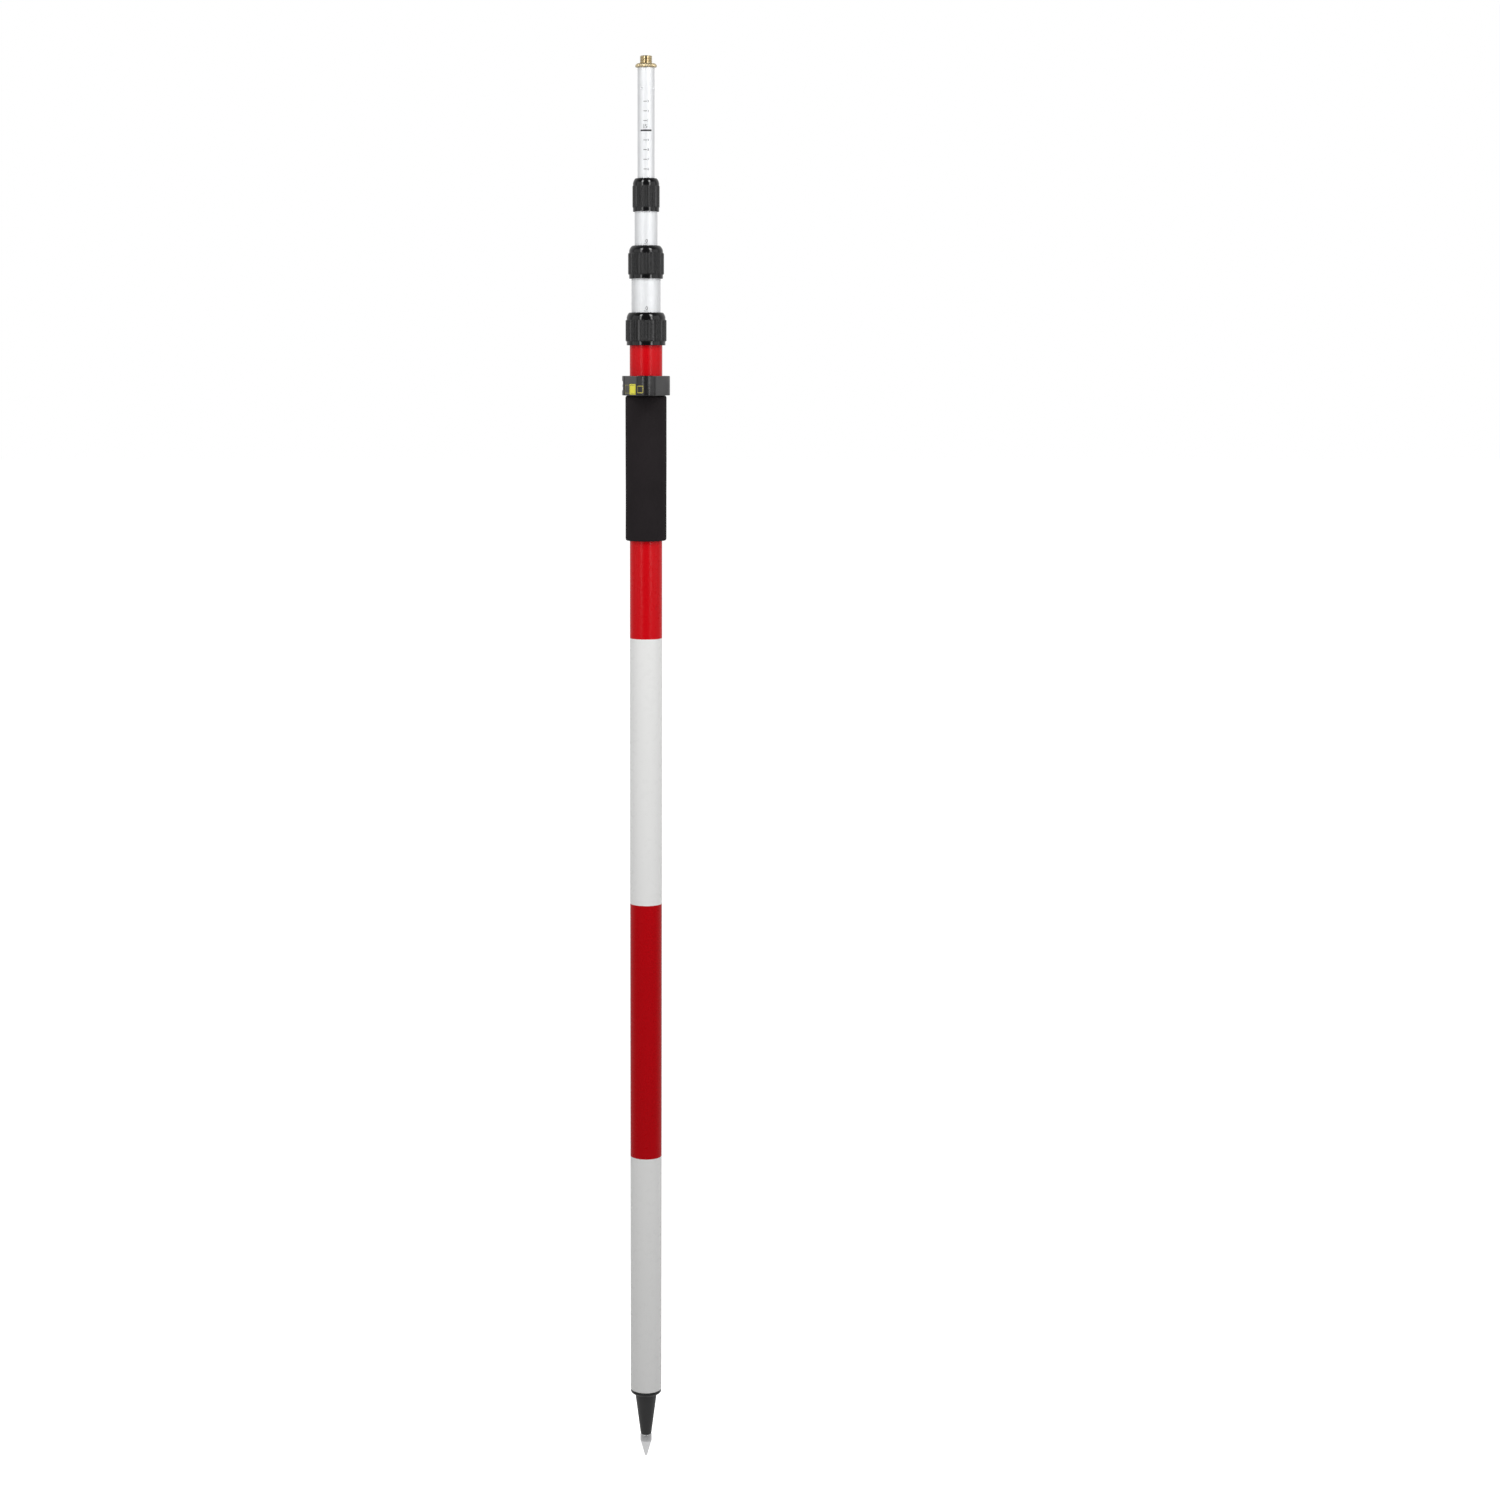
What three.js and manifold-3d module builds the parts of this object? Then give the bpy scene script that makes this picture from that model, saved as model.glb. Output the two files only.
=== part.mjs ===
// Four-section telescopic prism pole, collapsed and upright on its steel point.
// Millimetres, +Z up the pole, origin at the very tip, bracket arm towards -Y.
import * as THREE from "three";
import { mergeVertices } from "three/addons/utils/BufferGeometryUtils.js";
import Module from "manifold-3d";

// ---- driving dimensions -------------------------------------------------------------------
const GAP = 0.3; // clearance between neighbouring pieces
const WIDE = 36; // facets round the widest bodies
const MIDDLING = 30;
const NARROW = 24;
const SMALL = 14; // facets round screws and their holes

// The four tubes, outermost first: outer radius, wall and number of facets round it.
const TUBES = [
  { radius: 17.5, wall: 1.25, sides: WIDE },
  { radius: 15.5, wall: 1.25, sides: WIDE },
  { radius: 12.2, wall: 1.2, sides: MIDDLING },
  { radius: 9.0, wall: 1.2, sides: NARROW },
];

// Steel point and black shoe, as heights above the tip.
const TIP_RADIUS = 0.8;
const POINT_RADIUS = 6.5;
const POINT_TAPER = 18;
const CONE_BOTTOM = 27.2;
const CONE_TOP = 76;
const CONE_BOTTOM_RADIUS = 6.2;
const CONE_TOP_RADIUS = 12.4;
const SHOE_COLLAR_RADIUS = 17.2;
const TUBE_FOOT = 80.5;
const INSERT_HEIGHT = 27;
const SHOE_NECK_RADIUS = 7.6; // threaded neck of the shoe, which screws into the insert
const SHOE_NECK_HEIGHT = 20;
const POINT_SHANK_RADIUS = 4;
const POINT_SHANK_HEIGHT = 22;
const DRILL_POINT = 3; // the blind hole for the point's shank ends in a drill's cone
const SHOE_CHAMFER = 1;
const CONE_EDGE = 0.5;

// Foam grip and the bracket that sits on it.
const GRIP_BOTTOM = 1040.5;
const GRIP_LENGTH = 155.3;
const GRIP_RADIUS = 22.2;
const GRIP_CHAMFER = 1;
const BRACKET_HEIGHT = 20.7;
const BRACKET_EDGE = 0.5;
const RING_RADIUS = 25.7;
const ARM_RADIUS = 12;
const ARM_REACH = 33; // pole axis to the middle of the vial
const SLOT_WIDTH = 1.2;

// Clamp screw across the slot; its places are measured along it from the slot's middle.
const SCREW_RADIUS = 1.5;
const SCREW_HEAD_RADIUS = 2.75;
const SCREW_HEAD_HEIGHT = 3;
const SCREW_HEAD_CHAMFER = 0.3;
const SCREW_SOCKET_RADIUS = 1.45;
const SCREW_SOCKET_DEPTH = 1.8;
const SCREW_REACH = 21.8; // from the pole's axis to the screw's own
const HEAD_SEAT = 4.4; // back to the underside of the head
const SCREW_TIP = 13;
const POCKET_START = 30;
const POCKET_HALF_HEIGHT = 5.5; // an oval, milled half out through the ring's side
const POCKET_HALF_DEPTH = 4.4;
const POCKET_SHIFT = 1.3; // from the screw's own line, outwards

// Circular vial.
const CUP_RADIUS = 9.3;
const CUP_BORE = 7.75;
const CUP_HEIGHT = 9.6;
const CUP_FLOOR = 1.9;
const CUP_LIP = 0.6;
const RECESS_DEPTH = 11.2; // of the pocket for the cup, below the bracket's top
const CUP_STANDOFF = 2; // the O-ring holds the cup this far off the pocket's floor
const FLUID_TOP = 6.6; // these three are heights above the cup's underside
const LENS_EDGE = 8.6;
const LENS_TOP = 9;
const O_RING_RADIUS = 7.6;
const O_RING_THICKNESS = 1.5;
const VIAL_SCREW_RADIUS = 1.15;
const VIAL_SCREW_CIRCLE = 4.3;
const VIAL_SCREW_GRIP = 1.1; // how far each screw reaches into the cup's floor
const VIAL_HEAD_RADIUS = 2.2;
const VIAL_HEAD_HEIGHT = 2.2;
const VIAL_HEAD_SINK = 3;
const VIAL_SOCKET_RADIUS = 1.1;
const VIAL_SOCKET_DEPTH = 1.2;

// Labels on the arm's flat side: where each starts and ends along it.
const LABEL_HEIGHT = 11;
const LABEL_RAISE = 1.3;
const LABEL_THICKNESS = 0.15;
const LABEL_CLEARANCE = 0.1;
const DARK_LABEL_SPAN = [1.4, 14];
const YELLOW_LABEL_START = 14.4;
const LABEL_MARGIN = 0.4;

// Twist locks, lowest first: height of the foot above the tip and outer radius of the ring.
const LOCK_HEIGHT = 34.6;
const LOCKS = [
  { name: "lower", foot: 1249.2, radius: 21.9, sleeve: 1.5, lip: 1.0 },
  { name: "middle", foot: 1319.6, radius: 19.1, sleeve: 1.3, lip: 0.8 },
  { name: "upper", foot: 1389.8, radius: 14.5, sleeve: 0.7, lip: 0.8 },
];
const TUBE_END_IN_LOCK = 21; // how far an outer tube reaches up into its lock
const DOME_HEIGHT = 9;
const SKIRT_HEIGHT = 4;
const SKIRT_STEP = 1.3;
const SLEEVE_RAISE = 1; // the base sleeve starts this far above the ring's foot
const SLEEVE_SHOULDER = 2; // thickness of the sleeve's end, which the collet stands on
const COLLET_FOOT = 2; // upright foot of the collet, below its cone
const COLLET_SHORTFALL = 0.6; // room above the collet for the ring to screw down
const COLLET_NOSE = 0.25; // least thickness of the collet's top
const COLLET_SPLIT = 1.2;
const RING_LIP = 2.4; // height of the ring's straight mouth round the inner tube
const RING_RIM = 0.5;
const RING_MOUTH_CHAMFER = 0.7;

// Plugs that close the lower ends of the inner tubes and run in the tube outside.
const PLUG_FLANGE = 6;
const PLUG_SHANK = 14;
const PLUG_CHAMFER = 1;

// Brass adapter on the top tube.
const ADAPTER_FLANGE_BOTTOM = 1539.4;
const ADAPTER_FLANGE_HEIGHT = 3.6;
const ADAPTER_FLANGE_RADIUS = 11.3;
const ADAPTER_CHAMFER = 1.4;
const STUD_RADIUS = 6.5;
const STUD_HEIGHT = 8.2;
const STUD_CHAMFER = 0.8;
const ADAPTER_SHANK = 24;

// Hole near the top of the second tube.
const HOLE_RADIUS = 2.75;
const HOLE_HEIGHT = 1301.5;
const HOLE_TURN = 170; // degrees about the pole from +X

// ---- derived places -----------------------------------------------------------------------
const BRACKET_BOTTOM = GRIP_BOTTOM + GRIP_LENGTH + GAP;
const BRACKET_TOP = BRACKET_BOTTOM + BRACKET_HEIGHT;
const INSERT_BOTTOM = TUBE_FOOT + GAP;
const INSERT_TOP = INSERT_BOTTOM + INSERT_HEIGHT;
const VIAL_FLOOR = BRACKET_TOP - RECESS_DEPTH;
const CUP_BOTTOM = VIAL_FLOOR + CUP_STANDOFF;
// The arm's flat sides are tangent to the ring and to the round end of the arm.
const TANGENT = Math.asin((RING_RADIUS - ARM_RADIUS) / ARM_REACH);
const SIDE_NORMAL = new THREE.Vector3(-Math.cos(TANGENT), -Math.sin(TANGENT), 0);
const SIDE_ALONG = new THREE.Vector3(Math.sin(TANGENT), -Math.cos(TANGENT), 0);
const SIDE_LENGTH = ARM_REACH * Math.cos(TANGENT);

// ---- materials ----------------------------------------------------------------------------
const finish = (color, roughness, metalness) =>
  new THREE.MeshStandardMaterial({ color, roughness, metalness });
const PAINT = finish(0xd8121f, 0.35, 0.1);
const ALUMINIUM = finish(0xd5d6d8, 0.32, 1);
const STEEL = finish(0xb4b4b6, 0.3, 1);
const BRASS = finish(0xc9ab6e, 0.3, 1);
const BLACK_GLOSS = finish(0x161617, 0.25, 0);
const BLACK_SATIN = finish(0x1d1c1e, 0.5, 0);
const BLACK_ANODISED = finish(0x1b1a1c, 0.35, 0.6);
const FOAM = finish(0x272224, 0.95, 0);
const NYLON = finish(0xe6e3da, 0.6, 0);
const RUBBER = finish(0x141414, 0.9, 0);
const LENS = finish(0xe8f2e0, 0.08, 0);
const FLUID = finish(0xd2f06a, 0.2, 0);
const YELLOW = finish(0xf5e600, 0.5, 0);

// ---- shape helpers ------------------------------------------------------------------------
const wasm = await Module();
wasm.setup();

function toSolid(geometry) {
  const bare = geometry.clone();
  bare.deleteAttribute("normal");
  bare.deleteAttribute("uv");
  const merged = mergeVertices(bare, 1e-3);
  return new wasm.Manifold(
    new wasm.Mesh({
      numProp: 3,
      vertProperties: new Float32Array(merged.attributes.position.array),
      triVerts: new Uint32Array(merged.index.array),
    }),
  );
}

function toGeometry(solid) {
  const mesh = solid.getMesh();
  const geometry = new THREE.BufferGeometry();
  geometry.setAttribute("position", new THREE.BufferAttribute(mesh.vertProperties, 3));
  geometry.setIndex(new THREE.BufferAttribute(mesh.triVerts, 1));
  geometry.computeVertexNormals();
  return geometry;
}

function cut(geometry, ...tools) {
  return toGeometry(tools.reduce((solid, tool) => solid.subtract(toSolid(tool)), toSolid(geometry)));
}

// A body turned about the pole's axis from [radius, height] corners, listed from the foot up
// the outside, so that its faces point out.
function turned(corners, sides) {
  const points = corners.map(([radius, height]) => new THREE.Vector2(radius, height));
  return new THREE.LatheGeometry(points, sides).rotateX(Math.PI / 2);
}

// A ring with a hole down its middle: the profile closes on itself.
function turnedRing(corners, sides) {
  return turned([...corners, corners[0]], sides);
}

function rod(radius, low, high, sides) {
  return turned([[0, low], [radius, low], [radius, high], [0, high]], sides);
}

function hexagon(radius, low, high) {
  return rod(radius, low, high, 6);
}

// Corners along a quarter ellipse from (r0, z0) to (r1, z1); it leaves the first point flat
// or upright.
function quarter(r0, z0, r1, z1, leavesFlat, steps) {
  return Array.from({ length: steps + 1 }, (unused, i) => {
    const angle = (i / steps) * (Math.PI / 2);
    const slow = 1 - Math.cos(angle);
    const fast = Math.sin(angle);
    return [
      r0 + (r1 - r0) * (leavesFlat ? fast : slow),
      z0 + (z1 - z0) * (leavesFlat ? slow : fast),
    ];
  });
}

const pole = new THREE.Group();

function add(name, geometry, material, parent = pole) {
  const mesh = new THREE.Mesh(geometry, material);
  mesh.name = name;
  parent.add(mesh);
  return mesh;
}

// ---- tubes --------------------------------------------------------------------------------
// Each inner tube stands on its end plug, and the plugs stand on each other when collapsed.
const plugFoot = [0];
TUBES.slice(1).forEach((tube, i) => {
  plugFoot.push(i === 0 ? INSERT_TOP + GAP : plugFoot[i] + PLUG_FLANGE + GAP + PLUG_SHANK + GAP);
});
const tubeFoot = (i) => (i === 0 ? TUBE_FOOT : plugFoot[i] + PLUG_FLANGE + GAP);
const tubeTop = (i) => (i === 3 ? ADAPTER_FLANGE_BOTTOM - GAP : LOCKS[i].foot + TUBE_END_IN_LOCK);

function tubeBlank({ radius, wall, sides }, foot, top) {
  const chamfer = wall * 0.6;
  return turnedRing(
    [
      [radius - wall, foot],
      [radius - chamfer, foot],
      [radius, foot + chamfer],
      [radius, top],
      [radius - wall, top],
    ],
    sides,
  );
}

add("main_tube", tubeBlank(TUBES[0], tubeFoot(0), tubeTop(0)), PAINT);

const holeDrill = new THREE.CylinderGeometry(HOLE_RADIUS, HOLE_RADIUS, TUBES[1].radius, SMALL)
  .rotateZ(Math.PI / 2)
  .translate(TUBES[1].radius, 0, 0)
  .rotateZ(THREE.MathUtils.degToRad(HOLE_TURN))
  .translate(0, 0, HOLE_HEIGHT);
add("tube_2", cut(tubeBlank(TUBES[1], tubeFoot(1), tubeTop(1)), holeDrill), ALUMINIUM);
add("tube_3", tubeBlank(TUBES[2], tubeFoot(2), tubeTop(2)), ALUMINIUM);
add("tube_4", tubeBlank(TUBES[3], tubeFoot(3), tubeTop(3)), ALUMINIUM);

TUBES.slice(1).forEach((tube, i) => {
  const outer = TUBES[i];
  const foot = plugFoot[i + 1];
  const flange = outer.radius - outer.wall - GAP;
  const shank = tube.radius - tube.wall - GAP;
  const top = foot + PLUG_FLANGE + GAP + PLUG_SHANK;
  const profile = [
    [0, foot],
    [flange - PLUG_CHAMFER, foot],
    [flange, foot + PLUG_CHAMFER],
    [flange, foot + PLUG_FLANGE],
    [shank, foot + PLUG_FLANGE],
    [shank, top - PLUG_CHAMFER],
    [shank - PLUG_CHAMFER, top],
    [0, top],
  ];
  add(`tube_${i + 2}_end_plug`, turned(profile, outer.sides), NYLON);
});

// ---- twist locks --------------------------------------------------------------------------
// A sleeve bonded outside the end of the outer tube, a split collet standing on it, and the
// ring that screws down over both and squeezes the collet against the inner tube.
function lockBase({ foot }, { bore, sleeve, running, end, seat, sides }) {
  const corners = [
    [bore, foot + SLEEVE_RAISE],
    [sleeve, foot + SLEEVE_RAISE],
    [sleeve, seat],
    [running, seat],
    [running, end + GAP],
    [bore, end + GAP],
  ];
  return turnedRing(corners, sides);
}

function lockCollet({ sleeve, running, seat, cavity, coneFoot, coneTop, mouth, sides }) {
  const top = coneTop - COLLET_SHORTFALL;
  const slope = (cavity - mouth) / (coneTop - coneFoot);
  const nose = sleeve - slope * (top - coneFoot);
  const corners = [
    [running, seat + GAP],
    [sleeve, seat + GAP],
    [sleeve, coneFoot],
    [Math.max(nose, running + COLLET_NOSE), top],
    [running, top],
  ];
  const split = new THREE.BoxGeometry(2 * cavity, COLLET_SPLIT, LOCK_HEIGHT).translate(cavity, 0, top);
  return cut(turnedRing(corners, sides), split);
}

function lockRing({ foot, radius }, { cavity, coneFoot, coneTop, mouth, sides }) {
  const top = foot + LOCK_HEIGHT;
  const corners = [
    [cavity, foot],
    ...quarter(radius - SKIRT_STEP, foot, radius, foot + SKIRT_HEIGHT, true, 2),
    ...quarter(radius, top - DOME_HEIGHT, mouth + RING_RIM, top, false, 5),
    [mouth, top - RING_MOUTH_CHAMFER],
    [mouth, coneTop],
    [cavity, coneFoot],
  ];
  return turnedRing(corners, sides);
}

LOCKS.forEach((lock, i) => {
  const outer = TUBES[i];
  const inner = TUBES[i + 1];
  const end = lock.foot + TUBE_END_IN_LOCK;
  const bore = outer.radius + GAP;
  const sleeve = bore + lock.sleeve;
  const seat = end + GAP + SLEEVE_SHOULDER;
  const fit = {
    end,
    bore,
    sleeve,
    seat,
    running: inner.radius + GAP,
    cavity: sleeve + GAP,
    mouth: inner.radius + lock.lip,
    coneFoot: seat + COLLET_FOOT,
    coneTop: lock.foot + LOCK_HEIGHT - RING_LIP,
    sides: outer.sides,
  };
  add(`${lock.name}_lock_base`, lockBase(lock, fit), BLACK_SATIN);
  add(`${lock.name}_lock_collet`, lockCollet(fit), NYLON);
  add(`${lock.name}_lock_ring`, lockRing(lock, fit), BLACK_GLOSS);
});

// ---- shoe and point -----------------------------------------------------------------------
const POINT_SHANK_TOP = CONE_BOTTOM + POINT_SHANK_HEIGHT;
const SHOE_NECK_TOP = INSERT_BOTTOM + SHOE_NECK_HEIGHT;
const insertBore = SHOE_NECK_RADIUS + GAP;
const insertRadius = TUBES[0].radius - TUBES[0].wall - GAP;

const insert = turnedRing(
  [
    [insertBore, INSERT_BOTTOM],
    [insertRadius, INSERT_BOTTOM],
    [insertRadius, INSERT_TOP],
    [insertBore, INSERT_TOP],
  ],
  MIDDLING,
);
add("shoe_insert", insert, ALUMINIUM);

const shoe = turned(
  [
    [0, POINT_SHANK_TOP + DRILL_POINT],
    [POINT_SHANK_RADIUS + GAP, POINT_SHANK_TOP + SHOE_CHAMFER],
    [POINT_SHANK_RADIUS + GAP, CONE_BOTTOM],
    [CONE_BOTTOM_RADIUS - CONE_EDGE, CONE_BOTTOM],
    [CONE_BOTTOM_RADIUS, CONE_BOTTOM + CONE_EDGE],
    [CONE_TOP_RADIUS, CONE_TOP],
    [SHOE_COLLAR_RADIUS - SHOE_CHAMFER, CONE_TOP],
    [SHOE_COLLAR_RADIUS, CONE_TOP + SHOE_CHAMFER],
    [SHOE_COLLAR_RADIUS, TUBE_FOOT - GAP],
    [SHOE_NECK_RADIUS, TUBE_FOOT - GAP],
    [SHOE_NECK_RADIUS, SHOE_NECK_TOP],
    [0, SHOE_NECK_TOP],
  ],
  MIDDLING,
);
add("shoe_cone", shoe, BLACK_SATIN);

const point = turned(
  [
    [0, 0],
    [TIP_RADIUS, 0],
    [POINT_RADIUS, POINT_TAPER],
    [POINT_RADIUS, CONE_BOTTOM - GAP],
    [POINT_SHANK_RADIUS, CONE_BOTTOM - GAP],
    [POINT_SHANK_RADIUS, POINT_SHANK_TOP],
    [0, POINT_SHANK_TOP],
  ],
  NARROW,
);
add("steel_point", point, STEEL);

// ---- grip ---------------------------------------------------------------------------------
const gripTop = GRIP_BOTTOM + GRIP_LENGTH;
const grip = turnedRing(
  [
    [TUBES[0].radius + GAP, GRIP_BOTTOM],
    [GRIP_RADIUS - GRIP_CHAMFER, GRIP_BOTTOM],
    [GRIP_RADIUS, GRIP_BOTTOM + GRIP_CHAMFER],
    [GRIP_RADIUS, gripTop - GRIP_CHAMFER],
    [GRIP_RADIUS - GRIP_CHAMFER, gripTop],
    [TUBES[0].radius + GAP, gripTop],
  ],
  WIDE,
);
add("foam_grip", grip, FOAM);

// ---- brass adapter ------------------------------------------------------------------------
const flangeTop = ADAPTER_FLANGE_BOTTOM + ADAPTER_FLANGE_HEIGHT;
const adapterBore = TUBES[3].radius - TUBES[3].wall - GAP;
const adapter = turned(
  [
    [0, tubeTop(3) - ADAPTER_SHANK],
    [adapterBore, tubeTop(3) - ADAPTER_SHANK],
    [adapterBore, ADAPTER_FLANGE_BOTTOM],
    [ADAPTER_FLANGE_RADIUS, ADAPTER_FLANGE_BOTTOM],
    [ADAPTER_FLANGE_RADIUS, flangeTop - ADAPTER_CHAMFER],
    [ADAPTER_FLANGE_RADIUS - ADAPTER_CHAMFER, flangeTop],
    [STUD_RADIUS, flangeTop],
    [STUD_RADIUS, flangeTop + STUD_HEIGHT - STUD_CHAMFER],
    [STUD_RADIUS - STUD_CHAMFER, flangeTop + STUD_HEIGHT],
    [0, flangeTop + STUD_HEIGHT],
  ],
  NARROW,
);
add("brass_adapter", adapter, BRASS);

// ---- vial bracket -------------------------------------------------------------------------
// The outline goes round the back of the ring, along one flat side to the end of the arm,
// round that, and back along the other flat side.
const outline = new THREE.Shape();
outline.absarc(0, 0, RING_RADIUS, -TANGENT, Math.PI + TANGENT, false);
outline.absarc(0, -ARM_REACH, ARM_RADIUS, Math.PI + TANGENT, 2 * Math.PI - TANGENT, false);
const blank = new THREE.ExtrudeGeometry(outline, {
  depth: BRACKET_HEIGHT - 2 * BRACKET_EDGE,
  bevelEnabled: true,
  bevelThickness: BRACKET_EDGE,
  bevelSize: BRACKET_EDGE,
  bevelOffset: -BRACKET_EDGE,
  bevelSegments: 1,
  curveSegments: 20,
}).translate(0, 0, BRACKET_BOTTOM + BRACKET_EDGE);

// Cutting tools run this far past the faces that they cut through.
const OVERRUN = 1;
const below = BRACKET_BOTTOM - OVERRUN;
const above = BRACKET_TOP + OVERRUN;
const poleBore = rod(TUBES[0].radius + GAP, below, above, WIDE);
const vialRecess = rod(CUP_RADIUS + GAP, VIAL_FLOOR, above, NARROW).translate(0, -ARM_REACH, 0);
const sideTurn = Math.PI + TANGENT;
const slot = new THREE.BoxGeometry(RING_RADIUS, SLOT_WIDTH, BRACKET_HEIGHT + 2 * OVERRUN)
  .translate(RING_RADIUS, 0, 0)
  .rotateZ(sideTurn)
  .translate(0, 0, BRACKET_BOTTOM + BRACKET_HEIGHT / 2);

// The clamp screw runs across the slot, parallel to the flat side, in the ring's wall.
const screwPlace = SIDE_NORMAL.clone().multiplyScalar(SCREW_REACH);
const screwHeight = BRACKET_BOTTOM + BRACKET_HEIGHT / 2;

// Lays a body made along +Z on the clamp screw's line, heading from the ring into the arm.
function alongScrew(geometry) {
  return geometry
    .rotateY(Math.PI / 2)
    .rotateZ(Math.atan2(SIDE_ALONG.y, SIDE_ALONG.x))
    .translate(screwPlace.x, screwPlace.y, screwHeight);
}

const screwPocket = alongScrew(
  rod(1, -POCKET_START, -HEAD_SEAT, NARROW)
    .scale(POCKET_HALF_HEIGHT, POCKET_HALF_DEPTH, 1)
    .translate(0, -POCKET_SHIFT, 0),
);
const screwBore = alongScrew(
  rod(SCREW_RADIUS + GAP, -HEAD_SEAT - OVERRUN, SCREW_TIP + OVERRUN, SMALL),
);

const vialScrewPlaces = [90, 210, 330].map((degrees) => {
  const turn = THREE.MathUtils.degToRad(degrees);
  return [
    VIAL_SCREW_CIRCLE * Math.cos(turn),
    VIAL_SCREW_CIRCLE * Math.sin(turn) - ARM_REACH,
  ];
});
const vialHeadTop = BRACKET_BOTTOM + VIAL_HEAD_SINK;
const vialScrewBores = vialScrewPlaces.flatMap(([x, y]) => [
  rod(VIAL_SCREW_RADIUS + GAP, below, VIAL_FLOOR + OVERRUN, SMALL).translate(x, y, 0),
  rod(VIAL_HEAD_RADIUS + GAP, below, vialHeadTop, SMALL).translate(x, y, 0),
]);
add(
  "bracket_body",
  cut(blank, poleBore, vialRecess, slot, screwPocket, screwBore, ...vialScrewBores),
  BLACK_ANODISED,
);

const headEnd = -HEAD_SEAT - GAP - SCREW_HEAD_HEIGHT;
const screwBlank = alongScrew(
  turned(
    [
      [0, headEnd],
      [SCREW_HEAD_RADIUS - SCREW_HEAD_CHAMFER, headEnd],
      [SCREW_HEAD_RADIUS, headEnd + SCREW_HEAD_CHAMFER],
      [SCREW_HEAD_RADIUS, -HEAD_SEAT - GAP],
      [SCREW_RADIUS, -HEAD_SEAT - GAP],
      [SCREW_RADIUS, SCREW_TIP],
      [0, SCREW_TIP],
    ],
    SMALL,
  ),
);
const screwSocket = alongScrew(
  hexagon(SCREW_SOCKET_RADIUS, headEnd - OVERRUN, headEnd + SCREW_SOCKET_DEPTH),
);
add("clamp_screw", cut(screwBlank, screwSocket), STEEL);

// ---- vial ---------------------------------------------------------------------------------
const vial = new THREE.Group();
vial.position.set(0, -ARM_REACH, CUP_BOTTOM);
pole.add(vial);
const fill = CUP_BORE - GAP;

const cupBlank = turned(
  [
    [0, 0],
    [CUP_RADIUS, 0],
    [CUP_RADIUS, CUP_HEIGHT - CUP_LIP],
    [CUP_RADIUS - CUP_LIP, CUP_HEIGHT],
    [CUP_BORE + CUP_LIP / 2, CUP_HEIGHT],
    [CUP_BORE, CUP_HEIGHT - CUP_LIP],
    [CUP_BORE, CUP_FLOOR],
    [0, CUP_FLOOR],
  ],
  NARROW,
);
const cupTaps = vialScrewPlaces.map(([x, y]) =>
  rod(VIAL_SCREW_RADIUS + GAP, -OVERRUN, VIAL_SCREW_GRIP + GAP, SMALL).translate(x, y + ARM_REACH, 0),
);
add("vial_cup", cut(cupBlank, ...cupTaps), BLACK_GLOSS, vial);
add("vial_fluid", rod(fill, CUP_FLOOR + GAP, FLUID_TOP, NARROW), FLUID, vial);

const lensBlank = turned(
  [
    [0, FLUID_TOP + GAP],
    [fill, FLUID_TOP + GAP],
    [fill, LENS_EDGE],
    [0, LENS_TOP],
  ],
  NARROW,
);
add("vial_lens", lensBlank, LENS, vial);

const ringSection = Array.from({ length: 6 }, (unused, i) => {
  const angle = ((i + 0.5) / 6) * 2 * Math.PI;
  const half = O_RING_THICKNESS / 2;
  return [O_RING_RADIUS + half * Math.cos(angle), half * Math.sin(angle) - CUP_STANDOFF / 2];
});
add("vial_o_ring", turnedRing(ringSection, NARROW), RUBBER, vial);

vialScrewPlaces.forEach(([x, y], i) => {
  const head = vialHeadTop - GAP;
  const foot = head - VIAL_HEAD_HEIGHT;
  const tip = CUP_BOTTOM + VIAL_SCREW_GRIP;
  const screw = turned(
    [
      [0, foot],
      [VIAL_HEAD_RADIUS, foot],
      [VIAL_HEAD_RADIUS, head],
      [VIAL_SCREW_RADIUS, head],
      [VIAL_SCREW_RADIUS, tip],
      [0, tip],
    ],
    SMALL,
  );
  const socket = hexagon(VIAL_SOCKET_RADIUS, foot - OVERRUN, foot + VIAL_SOCKET_DEPTH);
  add(`vial_screw_${i + 1}`, cut(screw, socket).translate(x, y, 0), STEEL);
});

// ---- labels on the arm's flat side --------------------------------------------------------
function label(name, [start, end], material) {
  const along = (start + end) / 2;
  const proud = RING_RADIUS + LABEL_CLEARANCE + LABEL_THICKNESS / 2;
  const place = SIDE_NORMAL.clone().multiplyScalar(proud).addScaledVector(SIDE_ALONG, along);
  const plate = new THREE.BoxGeometry(end - start, LABEL_THICKNESS, LABEL_HEIGHT);
  const mesh = add(name, plate, material);
  mesh.position.set(place.x, place.y, BRACKET_BOTTOM + LABEL_RAISE + LABEL_HEIGHT / 2);
  mesh.rotation.z = Math.atan2(SIDE_ALONG.y, SIDE_ALONG.x);
}

label("dark_label", DARK_LABEL_SPAN, BLACK_SATIN);
label("yellow_label", [YELLOW_LABEL_START, SIDE_LENGTH - LABEL_MARGIN], YELLOW);

export default pole;
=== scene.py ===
"""A collapsed four-section prism pole, upright on its steel point in a pale studio.

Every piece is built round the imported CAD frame, in metres, and rides on a CAD body.
"""
import math

import bmesh
import bpy
import numpy as np
from mathutils import Matrix, Vector


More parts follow.
